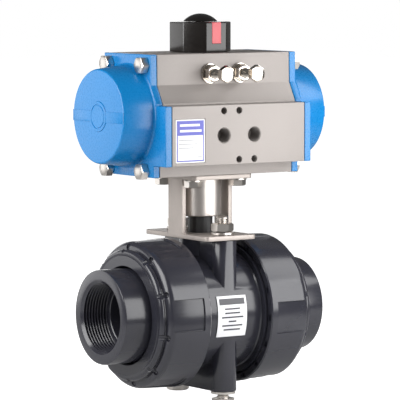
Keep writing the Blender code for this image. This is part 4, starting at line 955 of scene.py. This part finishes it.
def make_indicator():
    """The octagonal knob, its red bar and the domed cap."""
    flats = KNOB_HIGH.x
    corner = flats / math.cos(math.radians(22.5))
    knob = slab("indicator_body_finished", arc(corner, 22.5, 337.5, 7), "Z", KNOB_LOW.z, KNOB_HIGH.z)
    soften(knob, 0.7 * MM, 4)
    bar_low, bar_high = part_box("indicator_insert")
    half = bar_high.x
    room = 0.1 * MM
    out = bar_high.y
    inner = flats - 6 * MM
    bar_z = KNOB_HIGH.z - 3.5 * MM

    def bridge(grow, top, reach):
        """The bar's outline as YZ points: over the knob and down its front and back."""
        foot = bar_low.z - grow
        side = [(reach, top), (reach, foot), (inner - grow, foot), (inner - grow, bar_z - grow)]
        return side + [(-across, up) for across, up in reversed(side)]

    cut(knob, slab("bar_slot", bridge(room, KNOB_HIGH.z + MM, out + MM), "X", -half - room, half + room))
    cut(knob, bar("shaft_socket", 7.3 * MM, (0, 0, KNOB_LOW.z - MM), (0, 0, 186.3 * MM), 48))
    finished(knob, BLACK, "shaft", "indicator_body", smooth=30)
    insert = slab("indicator_insert_finished", bridge(0, bar_high.z, out), "X", -half, half)
    soften(insert, 0.25 * MM, 3)
    finished(insert, RED, "shaft", "indicator_insert", smooth=30)
    low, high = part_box("indicator_cap")
    wide = high.x
    rise = high.z - low.z
    sphere = (wide**2 + rise**2) / 2 / rise
    sweep = math.degrees(math.asin(wide / sphere))
    profile = [(low.z, 0), (low.z, wide - 0.2 * MM)]
    profile += [(high.z - sphere + up, across) for across, up in arc(sphere, 90 - sweep + 1, 90, 24)]
    dome = turned("indicator_cap_finished", profile, "Z", closed=False, steps=96)
    finished(dome, BLACK, "shaft", "indicator_cap", smooth=50)


# ---------------------------------------------------------------- labels


def printed(name, low, high, front, material, layer=1):
    """A printed patch on the flat label, a hair proud of it or of the print under it."""
    ink = 0.03 * MM * layer
    patch = box(name, (low[0], front - ink, low[1]), (high[0], front, high[1]))
    finished(patch, material, "root")


def make_name_label():
    """A plain name label: border, coloured heading and rows of grey lines with no lettering."""
    low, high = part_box("name_label")
    plate = slab(
        "name_label_finished",
        [
            (across + (low.x + high.x) / 2, up + (low.z + high.z) / 2)
            for across, up in round_plate((high.x - low.x) / 2, (high.z - low.z) / 2, 0.8 * MM)
        ],
        "Y", low.y, high.y,
    )
    finished(plate, LABEL_WHITE, "root", "name_label")
    front = low.y
    wide = high.x - low.x
    tall = high.z - low.z
    line = 0.8 * MM
    margin = 0.8 * MM
    left, right = low.x + margin, high.x - margin
    floor, top = low.z + margin, high.z - margin
    for number, (first, last) in enumerate((
        ((left, floor), (left + line, top)),
        ((right - line, floor), (right, top)),
        ((left + line, floor), (right - line, floor + line)),
        ((left + line, top - line), (right - line, top)),
    )):
        printed(f"label_border_{number}", first, last, front, LABEL_BLUE)
    heading = (left + line, high.z - tall * 0.37)
    printed("label_heading", heading, (right - line, top - line), front, LABEL_BLUE)
    for number, (row, share) in enumerate(((0.16, 0.68), (0.29, 0.74))):
        up = high.z - tall * row
        start = left + 3 * line
        end = (start + wide * share, up + 1.5 * MM)
        printed(f"heading_line_{number}", (start, up), end, front, LABEL_WHITE, 2)
    for number, (row, share) in enumerate(((0.49, 0.56), (0.58, 0.64), (0.67, 0.5))):
        up = high.z - tall * row
        start = left + 2 * line
        end = (start + wide * share, up + 0.7 * MM)
        printed(f"label_line_{number}", (start, up), end, front, LABEL_GREY)
    corner = right - 2 * line
    printed("label_mark", (corner - 3 * MM, floor + 3 * line), (corner, floor + 4 * line), front, LABEL_GREY)


def wrapped(name, start_x, end_x, radius, thick, first, last, material, *replaced):
    """A curved patch on the barrel: a strip across, spun about the pipe's axis and given a thickness."""
    begin = math.radians(first)
    points = [
        Vector((x, -radius * math.cos(begin), radius * math.sin(begin))) for x in (start_x, end_x)
    ]
    patch = drawn(name, points, False)
    bpy.ops.mesh.spin(steps=24, angle=math.radians(last - first), center=(0, 0, 0), axis=(1, 0, 0))
    bpy.ops.object.mode_set(mode="OBJECT")
    tidy_mesh(patch)
    wall = patch.modifiers.new("Wall", "SOLIDIFY")
    wall.thickness = thick
    wall.offset = 0
    bpy.ops.object.modifier_apply(modifier=wall.name)
    finished(patch, material, "root", *replaced)


def make_caution_label():
    """The label round the front of the barrel: a plain dark heading bar over rows of plain dark lines."""
    low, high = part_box("caution_label")
    radius = 39.45 * MM
    first = math.degrees(math.asin(low.z / radius))
    last = math.degrees(math.asin(high.z / radius))
    thick = 0.3 * MM
    wrapped("caution_label_finished", low.x, high.x, radius, thick, first, last, LABEL_WHITE, "caution_label")
    ink_r = radius + 0.16 * MM
    ink = 0.04 * MM
    margin = 1.5 * MM
    wrapped("caution_heading", low.x + margin, high.x - margin, ink_r, ink, 10.5, 16.5, LABEL_INK)
    middle = (low.x + high.x) / 2
    rows = ((6.5, 6), (2.5, 6), (-1.5, 8.5), (-5.5, 3), (-9.5, 8), (-13.5, 6.5))
    for number, (angle, half) in enumerate(rows):
        wrapped(
            f"caution_line_{number}", middle - half * MM, middle + half * MM, ink_r, ink,
            angle - 0.75, angle + 0.75, LABEL_INK,
        )


# ---------------------------------------------------------------- the object

for side_name, side_sign, panel in (("left", -1, 176.0), ("right", 1, 183.2)):
    make_connector(side_name, side_sign)
    make_union_nut(side_name, side_sign, panel)
    make_end_cap(side_name, side_sign)
    make_spring(side_name, side_sign)
make_valve_body()
make_ball()
make_bracket()
make_coupling()
make_actuator_body()
make_indicator()
make_fasteners()
make_name_label()
make_caution_label()

CARRIED = {
    "pinion": STEEL, "stop_cam": STEEL, "valve_stem": STEM_BLACK, "stem_seal": RUBBER, "seat_carrier": PVC,
    "left_ball_seat": PTFE, "right_ball_seat": PTFE, "left_face_seal": RUBBER, "right_face_seal": RUBBER,
    "lower_pinion_bearing": PTFE, "upper_pinion_bearing": PTFE, "left_piston": CAST, "right_piston": CAST,
    "left_piston_seal": RUBBER, "right_piston_seal": RUBBER,
}
for node_name, node_finish in CARRIED.items():
    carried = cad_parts[node_name]
    carried.data.materials.clear()
    carried.data.materials.append(node_finish)


# ---------------------------------------------------------------- studio


def make_floor():
    """A pale floor that looks white and gives back little light."""
    deselect()
    bpy.ops.mesh.primitive_plane_add(size=8, location=(0, 1.5, cad_low.z))
    floor = bpy.context.object
    floor.name = "studio_floor"
    material = bpy.data.materials.new("studio_white")
    material.use_nodes = True
    nodes = material.node_tree.nodes
    shader = nodes["Principled BSDF"]
    shader.inputs["Base Color"].default_value = (0.7, 0.7, 0.7, 1.0)
    shader.inputs["Roughness"].default_value = 0.9
    shader.inputs["Emission Color"].default_value = (1.0, 1.0, 1.0, 1.0)
    path = nodes.new("ShaderNodeLightPath")
    material.node_tree.links.new(path.outputs["Is Camera Ray"], shader.inputs["Emission Strength"])
    floor.data.materials.append(material)


def make_light(name, place, facing, wide, high, radiance):
    """A soft rectangular light at a place, turned to face a direction."""
    data = bpy.data.lights.new(name, "AREA")
    data.shape = "RECTANGLE"
    data.size = wide
    data.size_y = high
    data.energy = radiance * math.pi * wide * high
    light = bpy.data.objects.new(name, data)
    light.location = place
    light.rotation_mode = "QUATERNION"
    light.rotation_quaternion = Vector(facing).to_track_quat("-Z", "Y")
    light.visible_camera = False
    bpy.context.scene.collection.objects.link(light)


def make_lights():
    """Softboxes in front, high on the right and on the left, and two weak cards behind."""
    make_light("front_softbox", (0.17, -0.29, 0.13), (0, 1, -0.12), 0.4, 0.27, 4.6)
    make_light("high_softbox", (0.31, -0.16, 0.31), (-0.3, 0.16, -0.25), 0.2, 0.2, 3.4)
    make_light("left_softbox", (-0.42, -0.01, 0.25), (0.42, 0.01, -0.16), 0.35, 0.35, 6.0)
    make_light("left_card", (-0.5, 0.74, 0.05), (0.56, -0.83, 0.03), 0.6, 0.6, 1.6)
    make_light("back_card", (0.25, 0.9, 0.1), (-0.2, -1, 0), 0.7, 0.5, 1.5)


def make_world():
    """A white backdrop that is dim as a light."""
    world = bpy.data.worlds.new("studio")
    world.use_nodes = True
    nodes = world.node_tree.nodes
    sky = nodes["Background"]
    sky.inputs["Color"].default_value = (1.0, 1.0, 1.0, 1.0)
    path = nodes.new("ShaderNodeLightPath")
    level = nodes.new("ShaderNodeMapRange")
    level.inputs["To Min"].default_value = 0.12
    level.inputs["To Max"].default_value = 1.0
    world.node_tree.links.new(path.outputs["Is Camera Ray"], level.inputs["Value"])
    world.node_tree.links.new(level.outputs["Result"], sky.inputs["Strength"])
    bpy.context.scene.world = world


def make_camera():
    """A long lens from the left of the front, a little above the valve."""
    turn = math.radians(34.08)
    drop = math.radians(4.61)
    distance = 2.1228
    look_up = 0.07324
    look_left = 0.00013
    forward = Vector((math.sin(turn) * math.cos(drop), math.cos(turn) * math.cos(drop), -math.sin(drop)))
    right = Vector((math.cos(turn), -math.sin(turn), 0.0))
    up = right.cross(forward)
    data = bpy.data.cameras.new("camera")
    data.lens = 286.3
    data.sensor_width = 36.0
    data.clip_start = 0.05
    camera = bpy.data.objects.new("camera", data)
    camera.location = up * look_up - right * look_left - forward * distance
    camera.rotation_mode = "QUATERNION"
    camera.rotation_quaternion = forward.to_track_quat("-Z", "Y")
    bpy.context.scene.collection.objects.link(camera)
    bpy.context.scene.camera = camera


make_floor()
make_lights()
make_world()
make_camera()
bpy.context.scene.view_settings.view_transform = "Standard"
